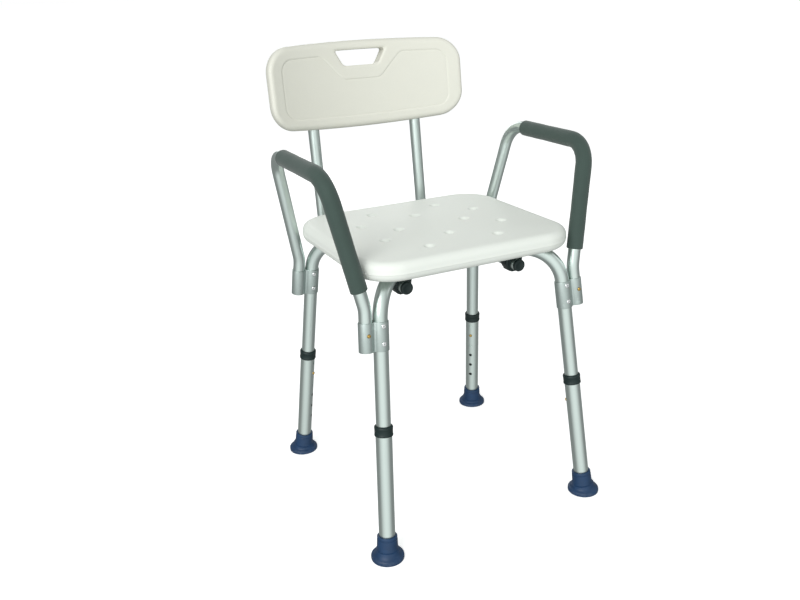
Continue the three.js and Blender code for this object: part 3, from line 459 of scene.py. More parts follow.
def merged(name, meshes):
    """One mesh that holds several."""
    work = bmesh.new()
    for mesh in meshes:
        work.from_mesh(mesh)
    whole = bpy.data.meshes.new(name)
    work.to_mesh(whole)
    work.free()
    for mesh in meshes:
        bpy.data.meshes.remove(mesh)
    return whole


def carved(mesh, *cutters):
    """The mesh less each cutter in turn."""
    body = linked("carved", mesh)
    tools = [linked("cutter", cutter) for cutter in cutters]
    for tool in tools:
        modifier = body.modifiers.new("cut", "BOOLEAN")
        modifier.operation = "DIFFERENCE"
        modifier.solver = "EXACT"
        modifier.object = tool
    depsgraph = bpy.context.evaluated_depsgraph_get()
    result = bpy.data.meshes.new_from_object(body.evaluated_get(depsgraph))
    result.name = mesh.name
    for item in (body, *tools):
        old = item.data
        bpy.data.objects.remove(item)
        bpy.data.meshes.remove(old)
    return result


def bent_path(corners, radii, step=math.radians(4)):
    """Stations and tangents of straight runs joined by arcs.

    An arc of radius r between two runs starts r tan(turn / 2) before their corner, and a
    point on it is start + r (sin a * before + (1 - cos a) * side), for a from 0 to turn.
    """
    corners = np.array(corners, float)
    runs = unit(np.diff(corners, axis=0))
    stations, tangents = [corners[:1]], [runs[:1]]
    for corner, before, after, radius in zip(corners[1:-1], runs[:-1], runs[1:], radii):
        turn = math.acos(float(np.clip(before @ after, -1, 1)))
        side = unit(after - (before @ after) * before)
        start = corner - before * radius * math.tan(turn / 2)
        angle = np.linspace(0, turn, max(4, math.ceil(turn / step) + 1))[:, None]
        stations.append(start + radius * (np.sin(angle) * before + (1 - np.cos(angle)) * side))
        tangents.append(np.cos(angle) * before + np.sin(angle) * side)
    stations.append(corners[-1:])
    tangents.append(runs[-1:])
    return np.concatenate(stations), np.concatenate(tangents)


def rings(centres, axes, radii, reference, sides):
    """Circles about the centres: C + r (cos t * across + sin t * up), t round the circle.

    `across` is the reference direction squared to each ring's axis.
    """
    axes = unit(axes)
    across = unit(reference - (axes @ reference)[:, None] * axes)
    up = np.cross(axes, across)
    turn = np.linspace(0, 2 * math.pi, sides + 1)[None, :, None]
    spoke = np.cos(turn) * across[:, None] + np.sin(turn) * up[:, None]
    return centres[:, None] + np.asarray(radii, float)[:, None, None] * spoke


def tube(name, path, outside, inside, lip, reference, sides=TUBE_SIDES):
    """A hollow tube: its outer skin forwards along the path and its bore back again."""
    stations, tangents = path
    count = len(stations)
    pull = np.zeros(count)
    pull[0], pull[-1] = lip, -lip
    pulled = stations + pull[:, None] * tangents

    def there_and_back(line, ends):
        """The line, its end twice, the line backwards, and its start twice and once more."""
        last, first = [ends[-1:]] * 2, [ends[:1]] * 2
        return np.concatenate([line, *last, line[::-1], *first, line[:1]])

    centres = there_and_back(pulled, stations)
    axes = there_and_back(tangents, tangents)
    big, small = outside / 2, inside / 2
    radii = np.concatenate([
        np.full(count, big),
        [big - lip, small + lip],
        np.full(count, small),
        [small + lip, big - lip, big],
    ])
    return surface(name, rings(centres, axes, radii, reference, sides))


def turned(name, profile, origin=(0, 0, 0), axis=Z_AXIS, reference=X_AXIS, sides=SMALL_SIDES):
    """A profile of [radius, height] carried round an axis: O + h * axis + r * spoke(t)."""
    profile = np.array(profile, float)
    axis = unit(axis)
    centres = np.asarray(origin, float) + profile[:, 1:] * axis
    axes = np.broadcast_to(axis, centres.shape)
    return surface(name, rings(centres, axes, profile[:, 0], np.asarray(reference), sides))


def rod(start, end, radius, sides=SMALL_SIDES):
    """A plain closed cylinder, for cutting."""
    start, end = np.asarray(start, float), np.asarray(end, float)
    axis = end - start
    size = np.linalg.norm(axis)
    reference = X_AXIS if abs(axis[0]) < 0.7 * size else Z_AXIS
    return turned("rod", [[radius, 0], [radius, size]], start, axis, reference, sides)


def hole(centre, facing, depth):
    """A cutter for a button's hole in the wall on the side that it faces."""
    return rod(centre, centre + facing * depth, tubes().hole / 2)


def rounded(points, radius, steps=5):
    """A closed outline of convex corners, each rounded by an arc of the radius given.

    Returns the outline's points and outward normals, both [n, 2], first point repeated.
    """
    points = np.array(points, float)
    before = unit(points - np.roll(points, 1, axis=0))
    after = unit(np.roll(points, -1, axis=0) - points)
    normal_in = np.stack([before[:, 1], -before[:, 0]], axis=-1)
    normal_out = np.stack([after[:, 1], -after[:, 0]], axis=-1)
    bisector = unit(normal_in + normal_out)
    centre = points - bisector * (radius / np.sum(bisector * normal_in, axis=-1))[:, None]
    share = np.linspace(0, 1, steps)[None, :, None]
    normals = unit(normal_in[:, None] * (1 - share) + normal_out[:, None] * share)
    outline = centre[:, None] + radius * normals
    outline, normals = outline.reshape(-1, 2), normals.reshape(-1, 2)
    return np.concatenate([outline, outline[:1]]), np.concatenate([normals, normals[:1]])


def prism(name, outline, normals, levels, origin, across, up, axis, widths=1.0):
    """An outline carried along an axis: O + (x - d n) across and up, + h * axis.

    Each level is [inset d, height h], so that the ends can be rounded over, and `widths`
    narrows the outline across at each level.
    """
    levels = np.array(levels, float)
    flat = outline[None] - levels[:, :1, None] * normals[None]
    points = (
        np.asarray(origin, float)
        + flat[..., :1] * widths * across
        + flat[..., 1:] * up
        + levels[:, 1:, None] * axis
    )
    return surface(name, points)


def rounded_levels(low, high, radius, steps=4, between=0):
    """Levels of a prism whose two ends are rounded over by a quarter circle."""
    inset, height = quarter_turn(radius, steps)
    start = np.stack([inset, low + height], axis=-1)
    end = np.stack([inset, high - height], axis=-1)[::-1]
    run = np.linspace(low + radius, high - radius, between + 2)[1:-1]
    return np.concatenate([start, np.stack([np.zeros_like(run), run], axis=-1), end])


def quarter_outline(half_x, half_y, corner, spacing):
    """Inner points and outward normals round a rounded rectangle, for exact offsets.

    The outline at inset d is inner + (corner - d) * normal. Each quarter mirrors the
    next, so the points on opposite sides of the long axis pair up.
    """
    inner_x, inner_y = half_x - corner, half_y - corner
    side = np.linspace(0, inner_y, max(2, round(inner_y / spacing)))
    turn = np.linspace(0, math.pi / 2, max(6, round(corner * math.pi / 2 / spacing)))
    top = np.linspace(inner_x, 0, max(2, round(inner_x / spacing)))
    inner = np.concatenate([
        np.stack([np.full_like(side, inner_x), side], axis=-1),
        np.broadcast_to([inner_x, inner_y], (len(turn) - 2, 2)),
        np.stack([top, np.full_like(top, inner_y)], axis=-1),
    ])
    arc = np.stack([np.cos(turn), np.sin(turn)], axis=-1)
    normals = np.concatenate([
        np.broadcast_to([1.0, 0.0], (len(side), 2)),
        arc[1:-1],
        np.broadcast_to([0.0, 1.0], (len(top), 2)),
    ])

    def around(values):
        """One quarter mirrored into all four."""
        half = np.concatenate([values, (values * [-1, 1])[::-1][1:]])
        return np.concatenate([half, (half * [1, -1])[::-1][1:]])

    return around(inner), around(normals)


def middle_line(outline, reach):
    """Each outline point's nearest place on the line from -reach to reach along X."""
    return np.stack([np.clip(outline[:, 0], -reach, reach), np.zeros(len(outline))], axis=-1)


def smoothstep(low, high, value):
    """0 below low, 1 above high, and 3 s^2 - 2 s^3 between."""
    share = np.clip((value - low) / (high - low), 0, 1)
    return share * share * (3 - 2 * share)


def smooth_max(first, second, soft):
    """The larger of two, blended where they are within `soft` of each other."""
    share = np.clip(0.5 + 0.5 * (first - second) / soft, 0, 1)
    return second + (first - second) * share + soft * share * (1 - share)


# ---- Shader maths -----------------------------------------------------------------------
class Value:
    """A shader socket that takes part in Python arithmetic."""

    def __init__(self, shading, socket):
        self.shading = shading
        self.socket = socket

    def _math(self, operation, first, second):
        return self.shading.node("ShaderNodeMath", {"operation": operation}, {0: first, 1: second})

    def __add__(self, other):
        return self._math("ADD", self, other)

    def __radd__(self, other):
        return self._math("ADD", other, self)

    def __sub__(self, other):
        return self._math("SUBTRACT", self, other)

    def __rsub__(self, other):
        return self._math("SUBTRACT", other, self)

    def __mul__(self, other):
        return self._math("MULTIPLY", self, other)

    def __rmul__(self, other):
        return self._math("MULTIPLY", other, self)

    def clamped(self, low, high):
        """How far the value is from low to high, held between 0 and 1."""
        return self.shading.node(
            "ShaderNodeMapRange", {"clamp": True},
            {"Value": self, "From Min": low, "From Max": high},
        )


class Shading:
    """A node tree while it is being put together."""

    def __init__(self, owner):
        owner.use_nodes = True
        self.tree = owner.node_tree
        self.tree.nodes.clear()

    def node(self, kind, settings=None, inputs=None, output=0):
        """Adds a node, makes its settings, then fills its sockets with values or links."""
        node = self.tree.nodes.new(kind)
        for key, value in (settings or {}).items():
            setattr(node, key, value)
        for key, value in (inputs or {}).items():
            if isinstance(value, Value):
                self.tree.links.new(value.socket, node.inputs[key])
            else:
                node.inputs[key].default_value = value
        return None if output is None else Value(self, node.outputs[output])


class Finish(Shading):
    """One procedural material, with a Principled shader to fill."""

    def __init__(self, name):
        self.material = bpy.data.materials.new(name)
        super().__init__(self.material)
        shader = self.node("ShaderNodeBsdfPrincipled")
        self.inputs = shader.socket.node.inputs
        self.node("ShaderNodeOutputMaterial", {}, {"Surface": shader}, None)
        coordinates = self.node("ShaderNodeTexCoord").socket.node.outputs
        self.object = Value(self, coordinates["Object"])
        self.uv = Value(self, coordinates["UV"])

    def noise(self, scale, detail=2.0, roughness=0.5, vector=None, distortion=0.0):
        """A noise value between 0 and 1 over Object coordinates, or another vector."""
        return self.node(
            "ShaderNodeTexNoise", {},
            {"Vector": vector or self.object, "Scale": scale, "Detail": detail,
             "Roughness": roughness, "Distortion": distortion},
        )

    def stretched(self, vector, scale):
        """A vector whose parts are each multiplied by their own scale."""
        return self.node(
            "ShaderNodeVectorMath", {"operation": "MULTIPLY"}, {0: vector, 1: scale}
        )

    def blend(self, share, first, second):
        """A mix of two colours by a share between 0 and 1."""
        colours = [c if isinstance(c, Value) else (*c, 1) for c in (first, second)]
        return self.node(
            "ShaderNodeMix", {"data_type": "RGBA"},
            {0: share, 6: colours[0], 7: colours[1]}, output=2,
        )

    def bump(self, height, strength, distance, under=None):
        """A bump from a height; `under` is the bump that it goes on top of."""
        inputs = {"Height": height, "Strength": strength, "Distance": distance}
        if under:
            inputs["Normal"] = under
        return self.node("ShaderNodeBump", {}, inputs)

    def surface(self, **sockets):
        """Fills the shader's sockets and returns the material."""
        for name, value in sockets.items():
            socket = self.inputs[name.replace("_", " ")]
            if isinstance(value, Value):
                self.tree.links.new(value.socket, socket)
            else:
                socket.default_value = (*value, 1) if socket.type == "RGBA" else value
        return self.material


def base(name):
    """A finish's base colour."""
    return tuple(getattr(bpy.context.scene.chair_colours, name))


def shaded(shade, factor):
    """A colour made darker or lighter."""
    return tuple(min(1.0, part * factor) for part in shade)


# ---- Finishes ---------------------------------------------------------------------------
def anodised_tube():
    """Satin tube: fine drawing lines along its length over a soft mottle."""
    shade = base("tube")
    make = Finish("satin_anodised_tube")
    lines = make.noise(1.0, 3, 0.6, make.stretched(make.uv, (150, 9, 1)))
    faint = make.noise(1.0, 2, 0.5, make.stretched(make.uv, (38, 2.5, 1)))
    mottle = make.noise(620, 3, 0.6)
    wear = make.noise(34, 3, 0.6).clamped(0.58, 0.72)
    tone = 0.5 * lines + 0.3 * faint + 0.2 * mottle
    return make.surface(
        Base_Color=make.blend(tone, shaded(shade, 0.90), shaded(shade, 1.10)),
        Metallic=1.0,
        Roughness=0.25 + 0.12 * tone + 0.05 * wear,
        Normal=make.bump(mottle, 0.12, 0.00010, make.bump(lines, 0.10, 0.00008)),
    )


def blasted_socket():
    """Blasted aluminium: a close, dull mottle with a few brighter rubbed spots."""
    shade = base("socket")
    make = Finish("blasted_aluminium_socket")
    grit = make.noise(1500, 2, 0.7)
    mottle = make.noise(260, 4, 0.65)
    rubbed = make.noise(70, 3, 0.6).clamped(0.60, 0.74)
    tone = 0.45 * grit + 0.55 * mottle
    dull = make.blend(tone, shaded(shade, 0.80), shaded(shade, 1.16))
    return make.surface(
        Base_Color=make.blend(0.5 * rubbed, dull, shaded(shade, 1.35)),
        Metallic=1.0,
        Roughness=0.46 + 0.10 * tone - 0.10 * rubbed,
        Normal=make.bump(grit, 0.25, 0.00015, make.bump(mottle, 0.15, 0.0003)),
    )


def bright_rivet():
    """Bright aluminium rivet with fine turning marks and small dents."""
    shade = base("rivet")
    make = Finish("bright_rivet")
    marks = make.noise(1.0, 2, 0.5, make.stretched(make.uv, (6, 5200, 1)))
    dents = make.noise(900, 2, 0.5)
    return make.surface(
        Base_Color=make.blend(dents, shaded(shade, 0.9), shaded(shade, 1.1)),
        Metallic=1.0,
        Roughness=0.16 + 0.16 * marks,
        Normal=make.bump(dents, 0.15, 0.0001, make.bump(marks, 0.1, 0.00004)),
    )


def brass_button():
    """Brass, polished on its dome and a little tarnished elsewhere."""
    shade = base("brass")
    make = Finish("polished_brass")
    tarnish = make.noise(420, 4, 0.6).clamped(0.42, 0.72)
    scuffs = make.noise(2200, 2, 0.6)
    return make.surface(
        Base_Color=make.blend(tarnish, shade, shaded(shade, 0.55)),
        Metallic=1.0,
        Roughness=0.18 + 0.16 * tarnish + 0.06 * scuffs,
        Normal=make.bump(scuffs, 0.08, 0.00005),
    )


def plated_screw():
    """Zinc plate: cool grey with a fine crystalline mottle."""
    shade = base("steel")
    make = Finish("zinc_plated_screw")
    crystals = make.noise(1100, 3, 0.7)
    bloom = make.noise(180, 2, 0.5)
    return make.surface(
        Base_Color=make.blend(0.6 * crystals + 0.4 * bloom, shaded(shade, 0.8), shaded(shade, 1.2)),
        Metallic=1.0,
        Roughness=0.28 + 0.2 * bloom,
        Normal=make.bump(crystals, 0.12, 0.00006),
    )


def moulded_white(name, shade, warm):
    """White polyethylene: a fine spark-eroded grain, slight waviness and faint warm stains."""
    make = Finish(name)
    grain = make.noise(1350, 3, 0.65)
    peel = make.noise(230, 2, 0.5)
    wave = make.noise(22, 2, 0.5)
    stain = make.noise(11, 4, 0.6).clamped(0.52, 0.80)
    plain = make.blend(0.6 * wave + 0.4 * peel, shaded(shade, 0.975), shaded(shade, 1.02))
    grained = make.bump(grain, 0.16, 0.00016, make.bump(peel, 0.14, 0.00035))
    return make.surface(
        Base_Color=make.blend(0.35 * stain, plain, warm),
        Roughness=0.40 + 0.12 * grain + 0.04 * wave,
        Normal=make.bump(wave, 0.12, 0.0012, grained),
        Specular_IOR_Level=0.42,
        Subsurface_Weight=0.04,
        Subsurface_Radius=(0.004, 0.004, 0.0035),
    )


def seat_white():
    """The seat's white, which the light leaves a little cool."""
    return moulded_white("moulded_seat_white", base("seat"), (0.79, 0.80, 0.75))


def back_white():
    """The back's white, warmer than the seat's."""
    return moulded_white("moulded_back_white", base("back"), (0.69, 0.67, 0.58))


def dark_trim():
    """Near-black moulded plastic with a leathery grain and paler scuffs."""
    shade = base("trim")
    make = Finish("dark_moulded_trim")
    grain = make.noise(1000, 3, 0.6)
    scuffs = make.noise(90, 5, 0.7, distortion=0.6).clamped(0.60, 0.80)
    return make.surface(
        Base_Color=make.blend(0.25 * scuffs, shade, shaded(shade, 3.5)),
        Roughness=0.40 + 0.14 * grain + 0.12 * scuffs,
        Normal=make.bump(grain, 0.20, 0.0002),
        Specular_IOR_Level=0.45,
    )


def grip_foam():
    """Closed-cell foam: a matt skin of tiny cells with soft pressed patches."""
    shade = base("foam")
    make = Finish("closed_cell_foam")
    cells = make.node(
        "ShaderNodeTexVoronoi", {"feature": "F1"},
        {"Vector": make.object, "Scale": 1500.0, "Randomness": 1.0},
    )
    speckle = make.noise(2400, 2, 0.6)
    patches = make.noise(48, 3, 0.6)
    tone = 0.45 * cells + 0.25 * speckle + 0.30 * patches
    return make.surface(
        Base_Color=make.blend(tone, shaded(shade, 0.74), shaded(shade, 1.36)),
        Roughness=0.66 + 0.16 * tone,
        Normal=make.bump(cells, 0.35, 0.00016, make.bump(patches, 0.25, 0.0009)),
        Sheen_Weight=0.25,
        Sheen_Roughness=0.5,
        Specular_IOR_Level=0.35,
    )


def foot_rubber():
    """Navy rubber: satin skin with a fine grain, and dust towards the floor."""
    shade = base("rubber")
    make = Finish("navy_rubber")
    grain = make.noise(800, 3, 0.6)
    bloom = make.noise(60, 4, 0.6).clamped(0.40, 0.75)
    height = make.node("ShaderNodeSeparateXYZ", {}, {0: make.object}, output=2)
    dust = (1 - height.clamped(0.0, 0.010)) * make.noise(170, 4, 0.7).clamped(0.42, 0.70)
    toned = make.blend(0.5 * bloom + 0.2 * grain, shaded(shade, 0.85), shaded(shade, 1.35))
    return make.surface(
        Base_Color=make.blend(0.4 * dust, toned, (0.18, 0.20, 0.24)),
        Roughness=0.42 + 0.14 * bloom + 0.25 * dust,
        Normal=make.bump(grain, 0.18, 0.0002),
        Specular_IOR_Level=0.45,
    )


MAKERS = {
    "tube": anodised_tube,
    "socket": blasted_socket,
    "rivet": bright_rivet,
    "button": brass_button,
    "screw": plated_screw,
    "seat_plastic": seat_white,
    "back_plastic": back_white,
    "trim_plastic": dark_trim,
    "foam": grip_foam,
    "foot_rubber": foot_rubber,
}
MADE = {}


def finish_of(kind):
    """The material of one finish, made the first time it is asked for."""
    if kind not in MADE:
        MADE[kind] = MAKERS[kind]()
    return MADE[kind]


def place(name, mesh, body, kind, *nodes, slot=None):
    """Makes a piece of a mesh, gives it its finish and lets it ride on a body."""
    if not mesh.polygons:
        raise RuntimeError(f"{name} came out empty")
    mesh.name = name
    mesh.materials.clear()
    mesh.materials.append(finish_of(kind))
    mesh.shade_smooth()
    mesh.set_sharp_from_angle(angle=SHARP_ANGLE)
    piece = linked(name, mesh)
    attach(piece, body)
    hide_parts(*nodes)
    return piece


# ---- Seat -------------------------------------------------------------------------------
DRAIN_COLUMNS = {0.0: (-0.065, 0.066), 0.067: (-0.115, -0.001, 0.112), 0.1165: (-0.048, 0.049)}
DRAINS = [
    (sign * across, along)
    for across, rows in DRAIN_COLUMNS.items()
    for along in rows
    for sign in ((-1, 1) if across else (1,))
]
DRAIN_SHIFT = 0.002  # the drains are laid out about a point this far ahead of the middle


class CHAIR_OT_seat(bpy.types.Operator):
    """Build the moulded seat with its drain dimples"""

    bl_idname = "chair.seat"
    bl_label = "Seat"

    def execute(self, context):
        place("moulded_seat", self.slab(context.scene.chair_seat), "frame", "seat_plastic", "seat")
        return {"FINISHED"}

    def slab(self, sizes):
        """The slab as rings that grow out of a short middle line, turn over the edge and
        close under the seat. A ring is inner + (corner - inset) * normal, at its height;
        each dimple lowers the top by depth * (1 - (r / R)^2)^2."""
        half_x, half_y, half_z = SEAT_HALF
        inner, normals = quarter_outline(half_x, half_y, sizes.corner, 0.0024)
        edge, thick = sizes.edge, 2 * half_z
        flat = inner + (sizes.corner - edge) * normals
        spine = middle_line(flat, half_x - half_y)
        near, far = (turn[1:] for turn in quarter_turn(edge, 9))
        seam = [[0.0, -0.55 * thick], [-sizes.seam, -0.57 * thick], [0.0, -0.59 * thick]]
        step = [[edge + 0.008, -thick], [edge + 0.011, sizes.recess - thick]]
        over = np.concatenate([
            np.stack([near, -far], axis=-1), seam, np.stack([far, near - thick], axis=-1), step
        ])
        side = inner[None] + (sizes.corner - over[:, :1, None]) * normals[None]
        top = spread(spine, flat, np.linspace(0, 1, 96))
        under = spread(spine, side[-1], np.linspace(1, 0, 8)[1:])
        plan = np.concatenate([top, side, under])
        height = np.concatenate([
            np.zeros(len(top)), over[:, 1], np.full(len(under), over[-1, 1])
        ])
        points = np.empty((*plan.shape[:2], 3))
        points[..., :2] = plan
        points[..., 2] = height[:, None]
        for x, y in DRAINS:
            away = np.hypot(top[..., 0] - x, top[..., 1] - y + DRAIN_SHIFT)
            dish = (1 - np.clip(away / sizes.dimple, 0, 1) ** 2) ** 2
            points[:len(top), :, 2] -= sizes.dimple_depth * dish
        points += [0, SEAT_MIDDLE[1], SEAT_HIGH[2]]
        return carved(surface("seat", points), self.drains(sizes), *self.grooves())

    def drains(self, sizes):
        """Cutters for the drain holes."""
        low, high = SEAT_LOW[2] - CUT_PAST, SEAT_HIGH[2] + CUT_PAST
        middle = SEAT_MIDDLE[1] - DRAIN_SHIFT
        return merged("drains", [
            rod((x, y + middle, low), (x, y + middle, high), sizes.drain, 24) for x, y in DRAINS
        ])

    def grooves(self):
        """Cutters for the two grooves that the frame tubes lie in."""
        pairs = ("front_left", "rear_right"), ("front_right", "rear_left")
        radius = tubes().frame / 2 + GAP
        return [rod(leg_top(start), leg_top(end), radius, TUBE_SIDES) for start, end in pairs]


# ---- Frame tubes and legs ---------------------------------------------------------------
class CHAIR_OT_frame_tubes(bpy.types.Operator):
    """Build the two bent tubes that cross under the seat, and their rivet"""

    bl_idname = "chair.frame_tubes"
    bl_label = "Frame tubes"

    def execute(self, context):
        drop = tubes().frame + 2 * GAP
        upper = self.bent("front_left", "rear_right", 0)
        dipped = self.bent("front_right", "rear_left", drop)
        place("bent_tube_upper", upper, "frame", "tube", "frame_tube_upper")
        place("bent_tube_dipped", dipped, "frame", "tube", "frame_tube_dipped")
        place("crossing_rivet", self.rivet(), "frame", "rivet", "cross_rivet")
        return {"FINISHED"}

    def bent(self, front, rear, drop):
        """From inside one lower leg up, across under the seat and down into another, with
        a dip to pass below the other tube where `drop` isn't 0."""
        sizes = tubes()
        ends = leg_top(front), leg_top(rear)
        middle = (ends[0] + ends[1]) / 2
        dips = []
        if drop:
            for end in ends:
                out = unit(end - middle)
                ramp = middle + out * (sizes.dip_flat + sizes.dip_ramp)
                dips.append([ramp, middle + out * sizes.dip_flat - drop * Z_AXIS])
            dips = [*dips[0], *dips[1][::-1]]
        corners = [
            along_leg(front, sizes.inner_end), ends[0], *dips, ends[1],
            along_leg(rear, sizes.inner_end),
        ]
        radii = [sizes.frame_bend, *[sizes.dip_bend] * len(dips), sizes.frame_bend]
        sideways = unit(np.cross(ends[1] - ends[0], Z_AXIS))
        inside = sizes.frame - 2 * sizes.wall
        return tube("bent", bent_path(corners, radii), sizes.frame, inside, sizes.lip, sideways)

    def rivet(self):
        """A domed head below the two tubes, a shank through both and a bulb inside."""
        low = cross_height() - 1.5 * tubes().frame - 3 * GAP
        inside = cross_height() - tubes().frame / 2 + 0.0021
        shank, bulb, tall = 0.002, 0.0032, inside - low
        profile = [
            [0, -0.0013], [0.0022, -0.00125], [0.0034, -0.0008], [0.004, 0], [shank, 0],
            [shank, tall], [bulb, tall], [bulb, tall + 0.0024], [0, tall + 0.0024],
        ]
        return turned("rivet", profile, (*crossing()[:2], low))


class CHAIR_OT_lower_legs(bpy.types.Operator):
    """Build the lower leg tubes with height holes, their collars and rubber feet"""

    bl_idname = "chair.lower_legs"
    bl_label = "Lower legs"

    def execute(self, context):
        for name in CORNERS:
            body = f"leg_{name}"
            place(f"leg_tube_{name}", self.leg(name), body, "tube", f"lower_tube_{name}")
            place(f"collar_{name}", self.collar(name), body, "trim_plastic", f"leg_collar_{name}")
            place(f"rubber_foot_{name}", self.foot(name), body, "foot_rubber", f"foot_{name}")
        return {"FINISHED"}

    def leg(self, name):
        """A straight tube with a column of height holes on its inward side."""
        sizes, inwards = tubes(), leg_inwards(name)
        ends = [along_leg(name, sizes.lower_start), along_leg(name, sizes.lower_end)]
        inside = sizes.lower - 2 * sizes.wall
        blank = tube("leg", bent_path(ends, []), sizes.lower, inside, sizes.lip, inwards)
        heights = [sizes.first_hole - step * sizes.hole_pitch for step in range(HOLES_PER_LEG)]
        return carved(blank, merged("holes", [
            hole(along_leg(name, height), inwards, sizes.lower) for height in heights
        ]))

    def collar(self, name):
        """A ring with rounded lips that turns in over the end of the lower tube."""
        bore = tubes().lower / 2 + GAP
        mouth = tubes().frame / 2 + GAP
        outer = bore + fittings().collar_wall
        end, low = tubes().lower_end, tubes().lower_end - fittings().collar_skirt
        profile = [
            [bore, low], [outer - 0.0005, low], [outer - 0.0001, low + 0.0002],
            [outer, low + 0.0007], [outer, low + 0.0025], [outer - 0.0003, low + 0.0029],
            [outer - 0.0003, end - 0.0035], [outer, end - 0.0031], [outer, end - 0.0007],
            [outer - 0.0004, end + 0.0006], [bore - 0.0001, end + 0.0018],
            [mouth + 0.0006, end + 0.0022], [mouth, end + 0.0018], [mouth, end + GAP],
            [bore, end + GAP], [bore, low],
        ]
        return turned("collar", profile, SOLES[name], LEG_UP[name], X_AXIS, TUBE_SIDES)

    def foot(self, name):
        """Rings that turn from upright at the floor to the leg's lean at the sleeve.

        A ring's axis is Z (1 - s) + leg s, where s goes from 0 at the flange to 1 at the
        shoulder, and its middle lies on the leg's line above the flange.
        """
        flange = fittings().foot
        bore = tubes().lower / 2 + GAP
        sleeve = bore + 0.003
        start = tubes().lower_start - GAP
        ring = 0.0016  # how far the two rings under the foot stand down
        profile = np.array([
            [0, ring], [flange * 0.42, ring], [flange * 0.45, 0.0], [flange * 0.62, 0.0],
            [flange * 0.65, ring], [flange * 0.78, ring], [flange * 0.81, 0.0],
            [flange - 0.0009, 0.0], [flange - 0.0002, 0.0004], [flange, 0.0014], [flange, 0.0048],
            [flange - 0.0003, 0.0060], [flange - 0.0011, 0.0070], [flange - 0.0024, 0.0078],
            [flange - 0.0042, 0.0087], [flange - 0.0058, 0.0102], [flange - 0.0068, 0.0124],
            [flange - 0.0074, 0.0150], [flange - 0.0080, 0.0154], [sleeve + 0.0016, 0.0160],
            [sleeve + 0.0012, 0.0190],
            [sleeve + 0.0008, 0.0240], [sleeve + 0.0005, 0.0330], [sleeve + 0.0004, 0.0346],
            [sleeve - 0.0004, 0.0353], [sleeve - 0.0005, 0.0362], [sleeve + 0.0002, 0.0370],
            [sleeve + 0.0002, 0.0402], [sleeve - 0.0004, 0.0412], [sleeve - 0.0012, 0.0415],
            [bore + 0.0004, 0.0415], [bore, 0.0411], [bore, start], [0, start],
        ])
        lean = smoothstep(0.005, 0.016, profile[:, 1])[:, None]
        lean[-2:] = 1.0  # the floor of the bore, which is square to the tube
        axes = Z_AXIS * (1 - lean) + LEG_UP[name] * lean
        centres = SOLES[name] + profile[:, 1:] * axes
        return surface("foot", rings(centres, axes, profile[:, 0], X_AXIS, TUBE_SIDES))


# ---- Sockets and rivets -----------------------------------------------------------------
class CHAIR_OT_sockets(bpy.types.Operator):
    """Build the double sockets and their blind rivets"""

    bl_idname = "chair.sockets"
    bl_label = "Sockets"

    def execute(self, context):
        for name in CORNERS:
            place(f"double_socket_{name}", self.socket(name), "frame", "socket",
                  f"arm_socket_{name}", slot="tube")
            first = socket_top(name) - fittings().rivet_inset
            for level, height in (("upper", first), ("lower", first - fittings().rivet_spacing)):
                rivet = self.rivet(along_leg(name, height), LEG_UP[name])
                place(f"blind_rivet_{level}_{name}", rivet, "frame", "rivet",
                      f"socket_rivet_{level}_{name}")
        return {"FINISHED"}

    def outline(self):
        """Two circles joined by two fillets.

        The fillet's middle lies r1 + f from the first and r2 + f from the second, so its
        x is (s^2 + (r1 + f)^2 - (r2 + f)^2) / 2 s for barrels s apart.
        """
        first, second = barrel_radii()
        fillet = fittings().socket_fillet
        apart = first + second - fittings().socket_lap
        x = (apart**2 + (first + fillet) ** 2 - (second + fillet) ** 2) / (2 * apart)
        y = math.sqrt((first + fillet) ** 2 - x**2)
        near = math.atan2(y, x)
        far = math.atan2(y, x - apart)
        runs = [
            ((0, 0), first, np.linspace(near, 2 * math.pi - near, 72), 1),
            ((x, -y), fillet, np.linspace(math.pi - near, math.pi - far, 8), -1),
            ((apart, 0), second, np.linspace(-far, far, 60), 1),
            ((x, y), fillet, np.linspace(far - math.pi, near - math.pi, 8), -1),
        ]
        points, normals = [], []
        for centre, radius, angle, sense in runs:
            spoke = np.stack([np.cos(angle), np.sin(angle)], axis=-1)
            points.append(centre + radius * spoke)
            normals.append(sense * spoke)
        points, normals = np.concatenate(points), np.concatenate(normals)
        return np.concatenate([points, points[:1]]), np.concatenate([normals, normals[:1]])

    def socket(self, name):
        """The outline carried along the leg, less its two bores and the button's hole."""
        up, top = LEG_UP[name], socket_top(name)
        outwards = squared(CORNERS[name][0] * X_AXIS, up)
        low = top - fittings().socket
        blank = prism("socket", *self.outline(), rounded_levels(low, top, 0.0006), SOLES[name],
                      outwards, np.cross(up, outwards), up)
        bores = [
            rod(axis(name, low - CUT_PAST), axis(name, top + CUT_PAST), across / 2 + GAP,
                TUBE_SIDES)
            for axis, across in ((along_leg, tubes().frame), (arm_axis, tubes().arm))
        ]
        return carved(blank, merged("bores", bores), hole(*arm_button(name), tubes().arm))

    def rivet(self, centre, up):
        """A domed ring head with the mandrel's hole, and a shank through the walls."""
        surface_at = barrel_radii()[0] + 0.0001
        inside = tubes().frame / 2 - tubes().wall - 0.0009
        profile = [
            [0, inside - 0.0024], [0.0024, inside - 0.0024], [0.0032, inside - 0.0016],
            [0.0032, inside - 0.0002], [0.0030, inside], [0.0020, inside],
            [0.0020, surface_at], [0.0040, surface_at], [0.00405, surface_at + 0.0003],
            [0.0038, surface_at + 0.0007], [0.0032, surface_at + 0.0011],
            [0.0024, surface_at + 0.00135], [0.0016, surface_at + 0.0014],
            [0.00125, surface_at + 0.0012], [0.0011, surface_at + 0.0008],
            [0.0011, surface_at - 0.0015], [0, surface_at - 0.0015],
        ]
        return turned("rivet", profile, centre, squared(FORWARDS, up), up)


